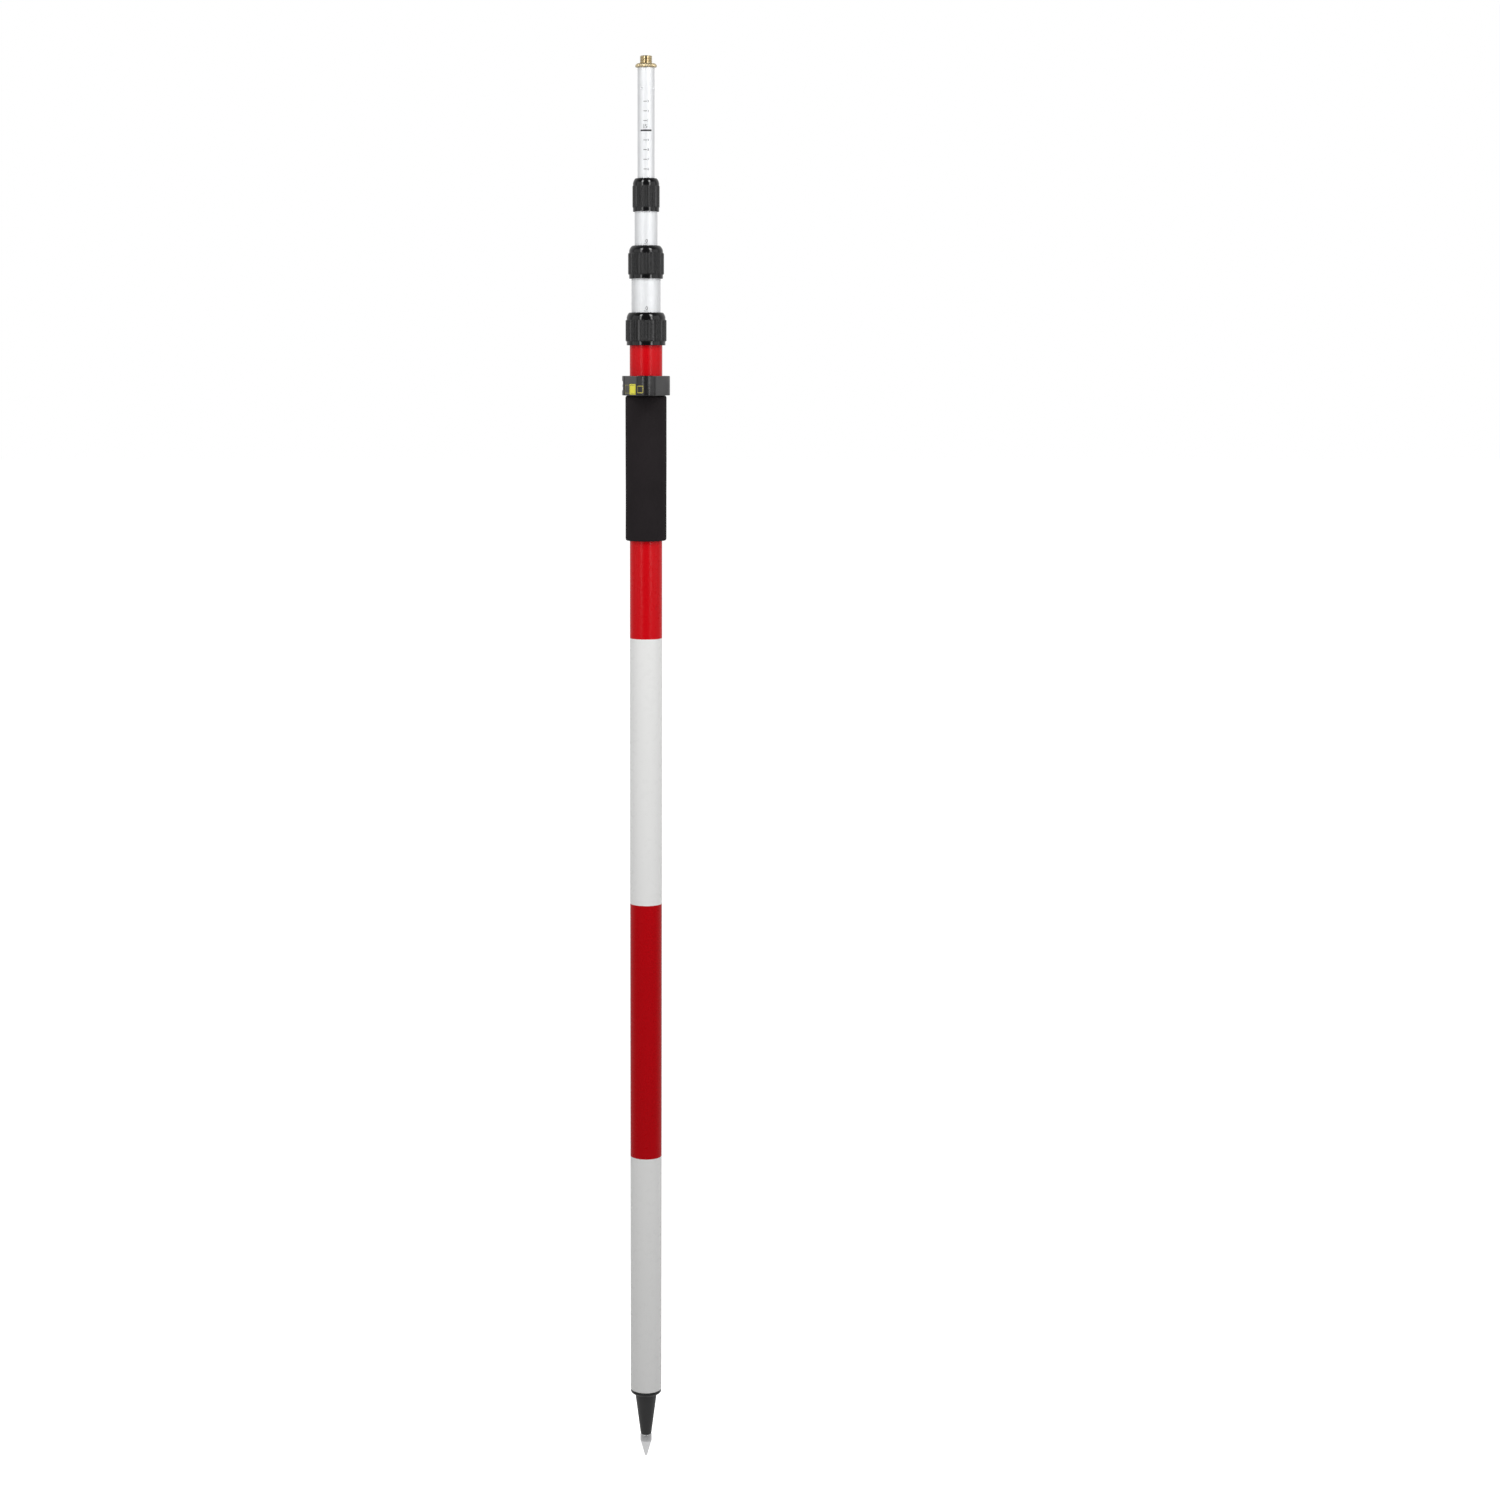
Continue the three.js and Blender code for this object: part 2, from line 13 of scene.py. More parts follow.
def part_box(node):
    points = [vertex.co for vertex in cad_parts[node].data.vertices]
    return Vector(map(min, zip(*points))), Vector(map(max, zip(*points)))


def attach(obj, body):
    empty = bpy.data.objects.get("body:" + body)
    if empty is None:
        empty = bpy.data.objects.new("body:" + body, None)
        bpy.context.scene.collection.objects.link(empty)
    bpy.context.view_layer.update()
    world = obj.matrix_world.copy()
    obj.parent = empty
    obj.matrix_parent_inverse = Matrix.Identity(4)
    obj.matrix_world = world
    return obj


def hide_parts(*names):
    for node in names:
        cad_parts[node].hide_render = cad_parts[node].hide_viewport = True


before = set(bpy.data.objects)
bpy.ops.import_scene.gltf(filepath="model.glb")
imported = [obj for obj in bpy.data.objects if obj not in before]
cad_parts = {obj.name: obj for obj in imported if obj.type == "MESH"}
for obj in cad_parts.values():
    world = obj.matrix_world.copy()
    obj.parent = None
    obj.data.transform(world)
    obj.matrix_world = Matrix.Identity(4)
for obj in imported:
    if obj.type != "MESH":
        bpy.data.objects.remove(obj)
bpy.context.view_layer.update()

MM = 0.001
TURN = 2 * math.pi
SKIN = 0.02 * MM  # how far printed ink stands off the surface below it


# ---- sizes read from the frame ---------------------------------------------------------------
def radius_of(node):
    low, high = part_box(node)
    return (high.x - low.x) / 2


def heights_of(node):
    low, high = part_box(node)
    return low.z, high.z


MAIN_R = radius_of("main_tube")
GAP = 0.3 * MM  # the CAD's own, between pieces that don't touch
WALL = 1.25 * MM
RING_R = radius_of("bracket_body")
BRACKET_LOW, BRACKET_TOP = heights_of("bracket_body")
VIAL_LOW, VIAL_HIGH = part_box("vial_cup")
VIAL = (VIAL_LOW + VIAL_HIGH) / 2
CUP_R = radius_of("vial_cup")
CUP_BOTTOM, CUP_TOP = heights_of("vial_cup")
REACH = -VIAL.y  # from the pole's axis to the vial's
ARM_R = -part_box("bracket_body")[0].y - REACH
TANGENT = math.asin((RING_R - ARM_R) / REACH)  # how far the arm's flat sides lean in
SIDE_NORMAL = Vector((-math.cos(TANGENT), -math.sin(TANGENT), 0))
SIDE_ALONG = Vector((math.sin(TANGENT), -math.cos(TANGENT), 0))
SIDE_LENGTH = REACH * math.cos(TANGENT)


# ---- materials -------------------------------------------------------------------------------
class Nodes:
    """A short way to add and link shader nodes in one material."""

    def __init__(self, name):
        self.material = bpy.data.materials.new(name)
        self.material.use_nodes = True
        self.tree = self.material.node_tree
        self.shader = self.tree.nodes["Principled BSDF"]
        self.place = self.tree.nodes.new("ShaderNodeTexCoord").outputs["Object"]

    def add(self, kind, inputs=None, **settings):
        node = self.tree.nodes.new("ShaderNode" + kind)
        for key, value in settings.items():
            setattr(node, key, value)
        for key, value in (inputs or {}).items():
            if isinstance(value, bpy.types.NodeSocket):
                self.tree.links.new(value, node.inputs[key])
            else:
                node.inputs[key].default_value = value
        return node

    def noise(self, scale, detail=3, stretch=(1, 1, 1), roughness=0.5):
        """Noise of that many features a metre; stretch divides them along X, Y and Z."""
        squeezed = self.add(
            "Mapping", {"Vector": self.place, "Scale": tuple(scale / s for s in stretch)}
        )
        made = self.add(
            "TexNoise",
            {
                "Vector": squeezed.outputs["Vector"],
                "Scale": 1.0,
                "Detail": detail,
                "Roughness": roughness,
            },
        )
        return made.outputs["Fac"]

    def spread(self, value, low, high, from_low=0.35, from_high=0.65):
        """Maps the middle of a 0 to 1 value onto low to high."""
        return self.add(
            "MapRange",
            {
                "Value": value,
                "From Min": from_low,
                "From Max": from_high,
                "To Min": low,
                "To Max": high,
            },
        ).outputs["Result"]

    def mixed(self, factor, first, second, blend="MIX"):
        node = self.add("Mix", data_type="RGBA", blend_type=blend)
        for socket, value in ((0, factor), (6, first), (7, second)):
            if isinstance(value, bpy.types.NodeSocket):
                self.tree.links.new(value, node.inputs[socket])
            else:
                node.inputs[socket].default_value = value
        return node.outputs[2]

    def bumped(self, height, strength, distance, below=None):
        inputs = {"Height": height, "Strength": strength, "Distance": distance}
        if below is not None:
            inputs["Normal"] = below
        return self.add("Bump", inputs).outputs["Normal"]

    def finish(self, sockets):
        for key, value in sockets.items():
            if isinstance(value, bpy.types.NodeSocket):
                self.tree.links.new(value, self.shader.inputs[key])
            else:
                self.shader.inputs[key].default_value = value
        return self.material


def shade(colour, factor):
    return tuple(min(1.0, c * factor) for c in colour[:3]) + (1.0,)


def worn(
    name,
    colour,
    roughness,
    metallic=0.0,
    grain=1200,
    stretch=(1, 1, 1),
    spread=0.12,
    rough_spread=0.06,
    bump=0.15,
    depth=0.02 * MM,
    extra=None,
):
    """A surface with grain of its own scale in colour, roughness and relief."""
    n = Nodes(name)
    fine = n.noise(grain, 4, stretch)
    broad = n.noise(45, 2)
    tone = n.mixed(n.spread(broad, 0, 1), shade(colour, 1 - spread), shade(colour, 1 + spread))
    tone = n.mixed(n.spread(fine, 0, 0.5), tone, shade(colour, 1 - 2 * spread))
    smear = n.add(
        "Math",
        {
            0: n.spread(broad, -rough_spread, rough_spread),
            1: n.spread(fine, roughness - rough_spread / 2, roughness + rough_spread / 2),
        },
        operation="ADD",
    ).outputs[0]
    sockets = {
        "Base Color": tone,
        "Roughness": smear,
        "Metallic": metallic,
        "Normal": n.bumped(fine, bump, depth),
    }
    sockets.update(extra or {})
    return n.finish(sockets)


RED = (0.60, 0.0015, 0.006, 1)
SHADED_LOWER_RED = (0.47, 0.0012, 0.0045, 1)  # the lower red band is painted darker, as shade where the light falls off towards the foot
WHITE = (0.83, 0.83, 0.82, 1)
BAND_EDGES = (0.3532, 0.6406, 0.9344)  # heights where white and red meet, white lowest


def enamel(name):
    """Glossy red and white bands, with slightly uneven masking, scuffs near the foot and painted
    shade darkening the lower red band.
    """
    n = Nodes(name)
    height = n.add("SeparateXYZ", {"Vector": n.place}).outputs["Z"]
    wander = n.spread(n.noise(700, 2), -0.12 * MM, 0.12 * MM, 0, 1)
    edge = n.add("Math", {0: height, 1: wander}, operation="ADD").outputs[0]
    red = 0.0
    for i, level in enumerate(BAND_EDGES):
        above = n.add("Math", {0: edge, 1: level}, operation="GREATER_THAN").outputs[0]
        sign = 1.0 if i % 2 == 0 else -1.0
        red = n.add("Math", {0: above, 1: sign, 2: red}, operation="MULTIPLY_ADD").outputs[0]
    broad = n.spread(n.noise(30, 2, (1, 1, 4)), 0, 1)
    upper_white = (BAND_EDGES[1] + BAND_EDGES[2]) / 2
    # Painted shade: below the upper white band the red is darker, as the light falls off lower
    # down.
    painted_shade_below = n.add("Math", {0: height, 1: upper_white}, operation="LESS_THAN").outputs[0]
    reds = n.mixed(broad, shade(RED, 0.98), shade(RED, 1.01))
    reds = n.mixed(painted_shade_below, reds, n.mixed(broad, shade(SHADED_LOWER_RED, 0.98), shade(SHADED_LOWER_RED, 1.01)))
    whites = n.mixed(broad, shade(WHITE, 0.985), shade(WHITE, 1.0))
    colour = n.mixed(red, whites, reds)
    scuff = n.spread(n.noise(900, 5, (1, 1, 14), 0.7), 0, 0.35, 0.62, 0.72)
    low = n.spread(height, 1, 0, 0.08, 0.30)
    worn_here = n.add("Math", {0: scuff, 1: low}, operation="MULTIPLY").outputs[0]
    colour = n.mixed(worn_here, colour, (0.42, 0.41, 0.40, 1))
    peel = n.noise(900, 2)
    return n.finish(
        {
            "Base Color": colour,
            "Roughness": n.spread(n.noise(160, 3), 0.27, 0.29),
            "Normal": n.bumped(peel, 0.02, 0.02 * MM),
            "Specular IOR Level": 0.15,
        }
    )


def foam(name):
    """Closed-cell foam: fine pits, a dusty sheen and no gloss."""
    n = Nodes(name)
    pores = n.add("TexVoronoi", {"Vector": n.place, "Scale": 1500.0}).outputs["Distance"]
    grit = n.noise(2600, 3)
    broad = n.noise(35, 3)
    darker, paler = (0.0120, 0.0098, 0.0106, 1), (0.0160, 0.0130, 0.0142, 1)
    colour = n.mixed(n.spread(broad, 0, 1), darker, paler)
    colour = n.mixed(n.spread(grit, 0, 0.5), colour, (0.024, 0.020, 0.022, 1))
    normal = n.bumped(pores, 0.5, 0.12 * MM)
    normal = n.bumped(grit, 0.35, 0.08 * MM, normal)
    return n.finish(
        {
            "Base Color": colour,
            "Roughness": n.spread(grit, 0.82, 0.95),
            "Normal": normal,
            "Specular IOR Level": 0.12,
        }
    )


def drawn_aluminium(name):
    """Satin anodised tube: hairlines along its length and faint handling marks."""
    n = Nodes(name)
    lines = n.noise(2600, 3, (1, 1, 260))
    clouds = n.noise(60, 3)
    colour = n.mixed(n.spread(lines, 0, 1), (0.81, 0.82, 0.83, 1), (0.87, 0.88, 0.89, 1))
    colour = n.mixed(n.spread(clouds, 0, 0.25), colour, (0.73, 0.74, 0.76, 1))
    return n.finish(
        {
            "Base Color": colour,
            "Metallic": 0.8,
            "Roughness": n.spread(lines, 0.60, 0.66),
            "Normal": n.bumped(lines, 0.07, 0.01 * MM),
        }
    )


def tinted_fluid(name, centre, radius):
    """Yellow-green spirit, with painted shade making it greener towards the rim of the vial, and a
    painted glow.
    """
    n = Nodes(name)
    away = n.add("VectorMath", {0: n.place, 1: centre}, operation="DISTANCE").outputs["Value"]
    # Painted shade: the spirit turns darker green towards the rim, where the cup's wall shades it.
    rim = n.spread(away, 0, 1, radius * 0.82, radius)
    clouds = n.spread(n.noise(400, 2), 0, 0.15)
    colour = n.mixed(clouds, (0.76, 0.98, 0.13, 1), (0.60, 0.90, 0.10, 1))
    colour = n.mixed(rim, colour, (0.10, 0.52, 0.09, 1))
    return n.finish(
        {
            "Base Color": colour,
            "Roughness": n.spread(n.noise(300, 2), 0.16, 0.22),
            # Painted light: the spirit glows by its emission, though it is no lamp.
            "Emission Color": colour,
            "Emission Strength": 0.6,
            "Coat Weight": 1.0,
            "Coat Roughness": 0.03,
        }
    )


def clear_glass(name):
    n = Nodes(name)
    smudge = n.noise(250, 3)
    return n.finish(
        {
            "Base Color": (0.93, 1.0, 0.92, 1),
            "Roughness": n.spread(smudge, 0.02, 0.06),
            "Alpha": 0.12,
            "IOR": 1.5,
            "Normal": n.bumped(smudge, 0.02, 0.01 * MM),
        }
    )


PAINTED_RIM_SHADE_R = 7.4 * MM  # the painted rim shade makes the spirit fully green from here outwards

PAINT = enamel("enamel_bands")
ALUMINIUM = drawn_aluminium("drawn_aluminium")
FOAM = foam("closed_cell_foam")
STEEL = worn(
    "turned_steel",
    (0.86, 0.86, 0.87),
    0.36,
    metallic=0.8,
    grain=2200,
    stretch=(1, 1, 0.08),
    spread=0.08,
    rough_spread=0.08,
    bump=0.25,
)
SCREW = worn("screw_steel", (0.56, 0.56, 0.57), 0.26, metallic=1.0, grain=1800, spread=0.08)
BRASS = worn(
    "machined_brass",
    (0.70, 0.58, 0.36),
    0.27,
    metallic=1.0,
    grain=1500,
    stretch=(1, 1, 0.15),
    spread=0.10,
    rough_spread=0.08,
    bump=0.2,
)
GLOSS = worn(
    "gloss_black_plastic",
    (0.0035, 0.0035, 0.0042),
    0.13,
    grain=900,
    spread=0.2,
    bump=0.06,
    extra={"Specular IOR Level": 0.45},
)
SATIN = worn("satin_black", (0.018, 0.018, 0.019), 0.40, grain=1500, spread=0.2, bump=0.25)
ANODISED = worn("black_anodised", (0.009, 0.0082, 0.0095), 0.30, grain=1700, spread=0.2, bump=0.22)
NYLON = worn("nylon", (0.66, 0.64, 0.58), 0.5, grain=900, spread=0.05)
RUBBER = worn("moulded_rubber", (0.012, 0.012, 0.012), 0.8, grain=1400, spread=0.2, bump=0.3)
YELLOW = worn("yellow_film", (0.87, 0.80, 0.01), 0.38, grain=900, spread=0.04, bump=0.06)
DARK_FILM = worn("dark_film", (0.022, 0.021, 0.014), 0.35, grain=900, spread=0.1, bump=0.06)
GOLD_INK = worn("gold_ink", (0.50, 0.43, 0.06), 0.4, grain=1500, spread=0.08)
INK = worn("black_ink", (0.03, 0.03, 0.032), 0.5, grain=2500, spread=0.2, bump=0.1)
GLASS = clear_glass("vial_glass")
FLUID = tinted_fluid("vial_spirit", tuple(VIAL), PAINTED_RIM_SHADE_R)
# Painted shade: the dark ring round the bubble stands for the shade that refraction casts at its
# edge.
PAINTED_BUBBLE_RING_SHADE = worn("painted_shade_round_bubble", (0.20, 0.45, 0.10), 0.2, grain=500, spread=0.05, bump=0.05)
BUBBLE = worn("air_bubble", (0.60, 0.92, 0.34), 0.05, grain=300, spread=0.03, bump=0.02)


# ---- mesh helpers ----------------------------------------------------------------------------
def piece(name, points, faces, material, sharp=32):
    """A smooth-shaded mesh object at the origin, with its sharp edges kept."""
    mesh = bpy.data.meshes.new(name)
    mesh.from_pydata([tuple(p) for p in points], [], faces)
    mesh.validate()
    mesh.materials.append(material)
    body = bmesh.new()
    body.from_mesh(mesh)
    bmesh.ops.recalc_face_normals(body, faces=body.faces)
    body.to_mesh(mesh)
    body.free()
    mesh.shade_smooth()
    mesh.set_sharp_from_angle(angle=math.radians(sharp))
    made = bpy.data.objects.new(name, mesh)
    bpy.context.scene.collection.objects.link(made)
    return made


def softened(corners, radius, closed, steps=3):
    """Rounds the corners of a profile, as far as its edges leave room."""
    made = []
    count = len(corners)
    for i, corner in enumerate(corners):
        here = np.array(corner)
        if not closed and i in (0, count - 1):
            made.append(here)
            continue
        back = np.array(corners[i - 1]) - here
        on = np.array(corners[(i + 1) % count]) - here
        long_back, long_on = np.linalg.norm(back), np.linalg.norm(on)
        back, on = back / long_back, on / long_on
        if back @ on < -0.985:
            made.append(here)
            continue
        start = here + back * min(radius, 0.45 * long_back)
        end = here + on * min(radius, 0.45 * long_on)
        for t in np.linspace(0, 1, steps + 1):
            made.append((1 - t) ** 2 * start + 2 * t * (1 - t) * here + t * t * end)
    return made


def lathed(profile, sides, shape=None):
    """Points and faces of a profile turned about Z. shape(radii, heights, angles) may change
    the radii. A profile that starts and ends on the axis is capped there, any other closes."""
    profile = np.array(profile, float)
    open_ended = profile[0, 0] < 1e-9 and profile[-1, 0] < 1e-9
    rows = profile[1:-1] if open_ended else profile
    angles = np.arange(sides) / sides * TURN
    radii = np.repeat(rows[:, :1], sides, 1)
    if shape is not None:
        radii = shape(radii, rows[:, 1:], angles[None, :])
    grid = np.stack(
        [radii * np.cos(angles), radii * np.sin(angles), np.repeat(rows[:, 1:], sides, 1)], 2
    )
    points = [tuple(p) for p in grid.reshape(-1, 3)]
    faces = []
    levels = len(rows)
    for i in range(levels if not open_ended else levels - 1):
        j = (i + 1) % levels
        for k in range(sides):
            m = (k + 1) % sides
            faces.append((i * sides + k, i * sides + m, j * sides + m, j * sides + k))
    if open_ended:
        for row, end in ((0, profile[0]), (levels - 1, profile[-1])):
            points.append((0.0, 0.0, end[1]))
            tip = len(points) - 1
            for k in range(sides):
                faces.append((tip, row * sides + (k + 1) % sides, row * sides + k))
    return points, faces


def turned(name, profile, material, sides=96, shape=None, sharp=32):
    points, faces = lathed(profile, sides, shape)
    return piece(name, points, faces, material, sharp)


def plug(radius, low, high, sides):
    """A cutter along Z: a cylinder, or a prism if it has few sides."""
    profile = [(0, low), (radius, low), (radius, high), (0, high)]
    return turned("drill", profile, ANODISED, sides)


def moved(made, matrix):
    """Moves a piece's own vertices, so that the object stays at the origin."""
    made.data.transform(matrix)
    made.data.update()
    return made


def cut(made, cutters):
    """Takes the cutters away from a piece and removes them."""
    for cutter in cutters:
        modifier = made.modifiers.new("cut", "BOOLEAN")
        modifier.operation = "DIFFERENCE"
        modifier.solver = "EXACT"
        modifier.object = cutter
    bpy.context.view_layer.update()
    graph = bpy.context.evaluated_depsgraph_get()
    mesh = bpy.data.meshes.new_from_object(made.evaluated_get(graph))
    made.modifiers.clear()
    made.data = mesh
    for cutter in cutters:
        bpy.data.objects.remove(cutter)
    return made


def fine_edges(made, sharp=30):
    made.data.shade_smooth()
    made.data.set_sharp_from_angle(angle=math.radians(sharp))
    return made


def stands_for(made, body, slot, *nodes):
    """Rides a piece on a body and hides the CAD nodes it is drawn for. Its slot is not used."""
    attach(made, body)
    if nodes:
        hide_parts(*nodes)
    return made


# ---- tubes -----------------------------------------------------------------------------------
FACE_LENGTH = 40 * MM  # the tubes' long faces are split about this far apart
HOLE_R = 2.75 * MM
HOLE_HEIGHT = 1.3015
HOLE_TURN = 170  # degrees about the pole from +X
CRIMP_BELOW = 21.9 * MM  # from the top of tube 4 to where it is staked into the adapter
CRIMP_TURNS = (-121, -31, 59, 149)
CRIMP_R = 1.6 * MM
CRIMP_DEPTH = 0.95 * MM


def tube_profile(radius, wall, low, high):
    corners = [
        (radius - wall, low),
        (radius - 0.35 * wall, low),
        (radius, low + 0.65 * wall),
        (radius, high),
        (radius - wall, high),
    ]
    return softened(corners, 0.4 * MM, True)


def levelled(profile, step):
    """Adds points along the long edges of a closed profile, so that no face is very long."""
    made = []
    for start, end in zip(profile, profile[1:] + profile[:1]):
        start, end = np.array(start), np.array(end)
        parts = max(1, int(np.linalg.norm(end - start) / step))
        made += [start + (end - start) * i / parts for i in range(parts)]
    return made


def main_tube():
    low, high = heights_of("main_tube")
    profile = levelled(tube_profile(MAIN_R, WALL, low, high), FACE_LENGTH)
    made = turned("main_tube_enamel", profile, PAINT, 128)
    return stands_for(made, "main_pole", "painted_tube", "main_tube")


def side_tool(profile, turn, height, radius):
    """A cutter turned from its profile that points into a tube's side from outside."""
    made = turned("drill", profile, ALUMINIUM, 40)
    place = (
        Matrix.Translation((0, 0, height))
        @ Matrix.Rotation(math.radians(turn), 4, "Z")
        @ Matrix.Rotation(math.pi / 2, 4, "Y")
        @ Matrix.Translation((0, 0, radius))
    )
    return moved(made, place)


def inner_tube(number):
    """A drawn tube. The second has one round hole, the last four staked dimples."""
    node = f"tube_{number}"
    low, high = heights_of(node)
    radius = radius_of(node)
    profile = levelled(tube_profile(radius, WALL, low, high), FACE_LENGTH)
    made = turned(f"{node}_drawn", profile, ALUMINIUM, 128)
    if number == 2:
        hole = [(0, -radius / 2), (HOLE_R, -radius / 2), (HOLE_R, MM), (0, MM)]
        made = fine_edges(cut(made, [side_tool(hole, HOLE_TURN, HOLE_HEIGHT, radius)]))
    if number == 4:
        floor_r = 0.35 * CRIMP_R
        dimple = [(0, -CRIMP_DEPTH), (floor_r, -CRIMP_DEPTH), (CRIMP_R, 0), (CRIMP_R, MM), (0, MM)]
        tools = [side_tool(dimple, turn, high - CRIMP_BELOW, radius) for turn in CRIMP_TURNS]
        made = fine_edges(cut(made, tools))
    return stands_for(made, f"section_{number}", "satin_aluminium", node)


# ---- printed scale ---------------------------------------------------------------------------
SCALE_TURN = math.radians(-90)
CM = 10 * MM
READING_ABOVE = 26.3 * MM  # the scale reads to the middle of a prism on the stud
UNPRINTED = 160 * MM  # the foot of each tube, which never leaves its lock
UNPRINTED_TOP = 35 * MM
BOLD, FINE = 0.9 * MM, 0.3 * MM  # half the thickness of a decimetre's line, and a centimetre's
BIG, SMALL = 4.2 * MM, 2.4 * MM  # the heights of their numbers


def glyph(text):
    """Flat points and faces of a number, one unit tall, its left end at the origin."""
    curve = bpy.data.curves.new("number", "FONT")
    curve.body = text
    curve.size = 1.4
    curve.resolution_u = 2
    holder = bpy.data.objects.new("number", curve)
    bpy.context.scene.collection.objects.link(holder)
    bpy.context.view_layer.update()
    mesh = bpy.data.meshes.new_from_object(
        holder.evaluated_get(bpy.context.evaluated_depsgraph_get())
    )
    points = np.array([v.co[:2] for v in mesh.vertices])
    faces = [tuple(p.vertices) for p in mesh.polygons]
    bpy.data.objects.remove(holder)
    points -= points.min(0)
    return points / points[:, 1].max(), faces


GLYPHS = {text: glyph(text) for text in "0123456789"}


class Print:
    """Ink on a tube: flat shapes wrapped round its surface."""

    def __init__(self, radius):
        self.radius = radius + SKIN
        self.points = []
        self.faces = []

    def wrap(self, across, up):
        """The point at that arc length to the right of the scale's line, and that height."""
        angle = SCALE_TURN + across / self.radius
        return (self.radius * math.cos(angle), self.radius * math.sin(angle), up)

    def bar(self, left, right, low, high):
        steps = max(2, int((right - left) / (0.6 * MM)))
        first = len(self.points)
        for i in range(steps + 1):
            across = left + (right - left) * i / steps
            self.points += [self.wrap(across, low), self.wrap(across, high)]
        for i in range(steps):
            k = first + 2 * i
            self.faces.append((k, k + 2, k + 3, k + 1))

    def number(self, text, left, low, height):
        for digit in text:
            points, faces = GLYPHS[digit]
            first = len(self.points)
            self.points += [self.wrap(left + x * height, low + y * height) for x, y in points]
            self.faces += [tuple(first + i for i in face) for face in faces]
            left += (points[:, 0].max() + 0.22) * height


def printed_scale():
    """Centimetre ticks with small numbers, and a bold line and number at each decimetre."""
    low, high = heights_of("tube_4")
    ink = Print(radius_of("tube_4"))
    half_line = ink.radius * math.radians(40)
    first = math.ceil((low + UNPRINTED + READING_ABOVE) / CM)
    last = math.floor((high - UNPRINTED_TOP + READING_ABOVE) / CM)
    for centimetre in range(first, last + 1):
        height = centimetre * 10 * MM - READING_ABOVE
        if centimetre % 10 == 0:
            ink.bar(-half_line, half_line, height - BOLD, height + BOLD)
            ink.number(str(centimetre // 10), -2.6 * MM, height + 2.2 * MM, BIG)
        else:
            ink.bar(-2.8 * MM, 0.9 * MM, height - FINE, height + FINE)
            ink.number(str(centimetre % 10), 1.6 * MM, height - 1.2 * MM, SMALL)
    made = piece("tube_4_scale", ink.points, ink.faces, INK)
    return stands_for(made, "section_4", "satin_aluminium")


def extension_marks(number):
    """A small number at each decimetre down the tube, read at the edge of the lock below."""
    low = heights_of(f"tube_{number}")[0] + UNPRINTED
    lock = ("lower", "middle")[number - 2]
    height = heights_of(f"{lock}_lock_ring")[1] + 2.4 * MM
    ink = Print(radius_of(f"tube_{number}"))
    decimetre = 0
    while height > low:
        ink.number(str(decimetre), -0.6 * MM, height, 4.0 * MM)
        ink.bar(-2.2 * MM, 2.2 * MM, height - 1.2 * MM, height - 0.8 * MM)
        height -= 100 * MM
        decimetre += 1
    made = piece(f"tube_{number}_marks", ink.points, ink.faces, INK)
    return stands_for(made, f"section_{number}", "satin_aluminium")


# ---- twist locks -----------------------------------------------------------------------------
SKIRT = 4.6 * MM  # height of the smooth skirt below the flutes
COLLAR = 8.2 * MM  # height of the smooth collar above the flutes, its dome included
DOME = 5.6 * MM
DOME_POWER = 1.35  # 1 would be an ellipse, 2 a straight bevel
RIM_WIDTH = 1.4 * MM
MOUTH_SLOPE = 1.5 * MM  # depth of the slope inside the rim
CONE_FOOT = 25.3 * MM  # where the clamping cone inside begins, from the ring's foot
CONE_TOP = 2.4 * MM  # where it ends, below the ring's top
FLUTE_START, FLUTE_RISE = 0.10, 0.75  # where a groove starts on its cosine, and deepens
# Each lock's sliding tube and number of flutes, then in millimetres the flutes' depth, the gap
# round the tube and how far the flutes stand proud.
LOCKS = {
    "lower": ("tube_2", 48, 0.6, 1.0, 1.1),
    "middle": ("tube_3", 44, 0.55, 0.8, 1.0),
    "upper": ("tube_4", 36, 0.4, 0.8, 0.45),
}


def ease(value):
    value = np.clip(value, 0, 1)
    return value * value * (3 - 2 * value)


def lock_profile(low, high, outer, smooth, mouth, base):
    """A ring's section, from its foot up the outside, over the dome and back down inside."""
    rim = mouth + RIM_WIDTH
    flutes_low, flutes_high = low + SKIRT, high - COLLAR
    foot = [
        (base + 0.35 * MM, low),
        (smooth, low),
        (smooth, flutes_low - 0.4 * MM),
        (outer, flutes_low),
        (outer, flutes_low + 1.0 * MM),
    ]
    fluted = [(outer, z) for z in np.linspace(flutes_low, flutes_high, 8)[1:-1]]
    shoulder = [
        (outer, flutes_high - 1.0 * MM),
        (outer, flutes_high),
        (smooth, flutes_high + 0.5 * MM),
        (smooth, high - DOME - 0.4 * MM),
    ]
    dome = [
        (
            rim + (smooth - rim) * math.cos(t) ** DOME_POWER,
            high - DOME + DOME * math.sin(t) ** DOME_POWER,
        )
        for t in np.linspace(0, math.pi / 2, 22)
    ]
    inside = [
        (rim - 0.25 * MM, high - 0.12 * MM),
        (mouth + 0.25 * MM, high - MOUTH_SLOPE + 0.25 * MM),
        (mouth, high - MOUTH_SLOPE),
        (mouth, high - CONE_TOP),
        (base, low + CONE_FOOT),
        (base, low + 0.5 * MM),
    ]
    outside = softened(foot, 0.4 * MM, False) + fluted + softened(shoulder, 0.3 * MM, False)
    return outside + dome + inside


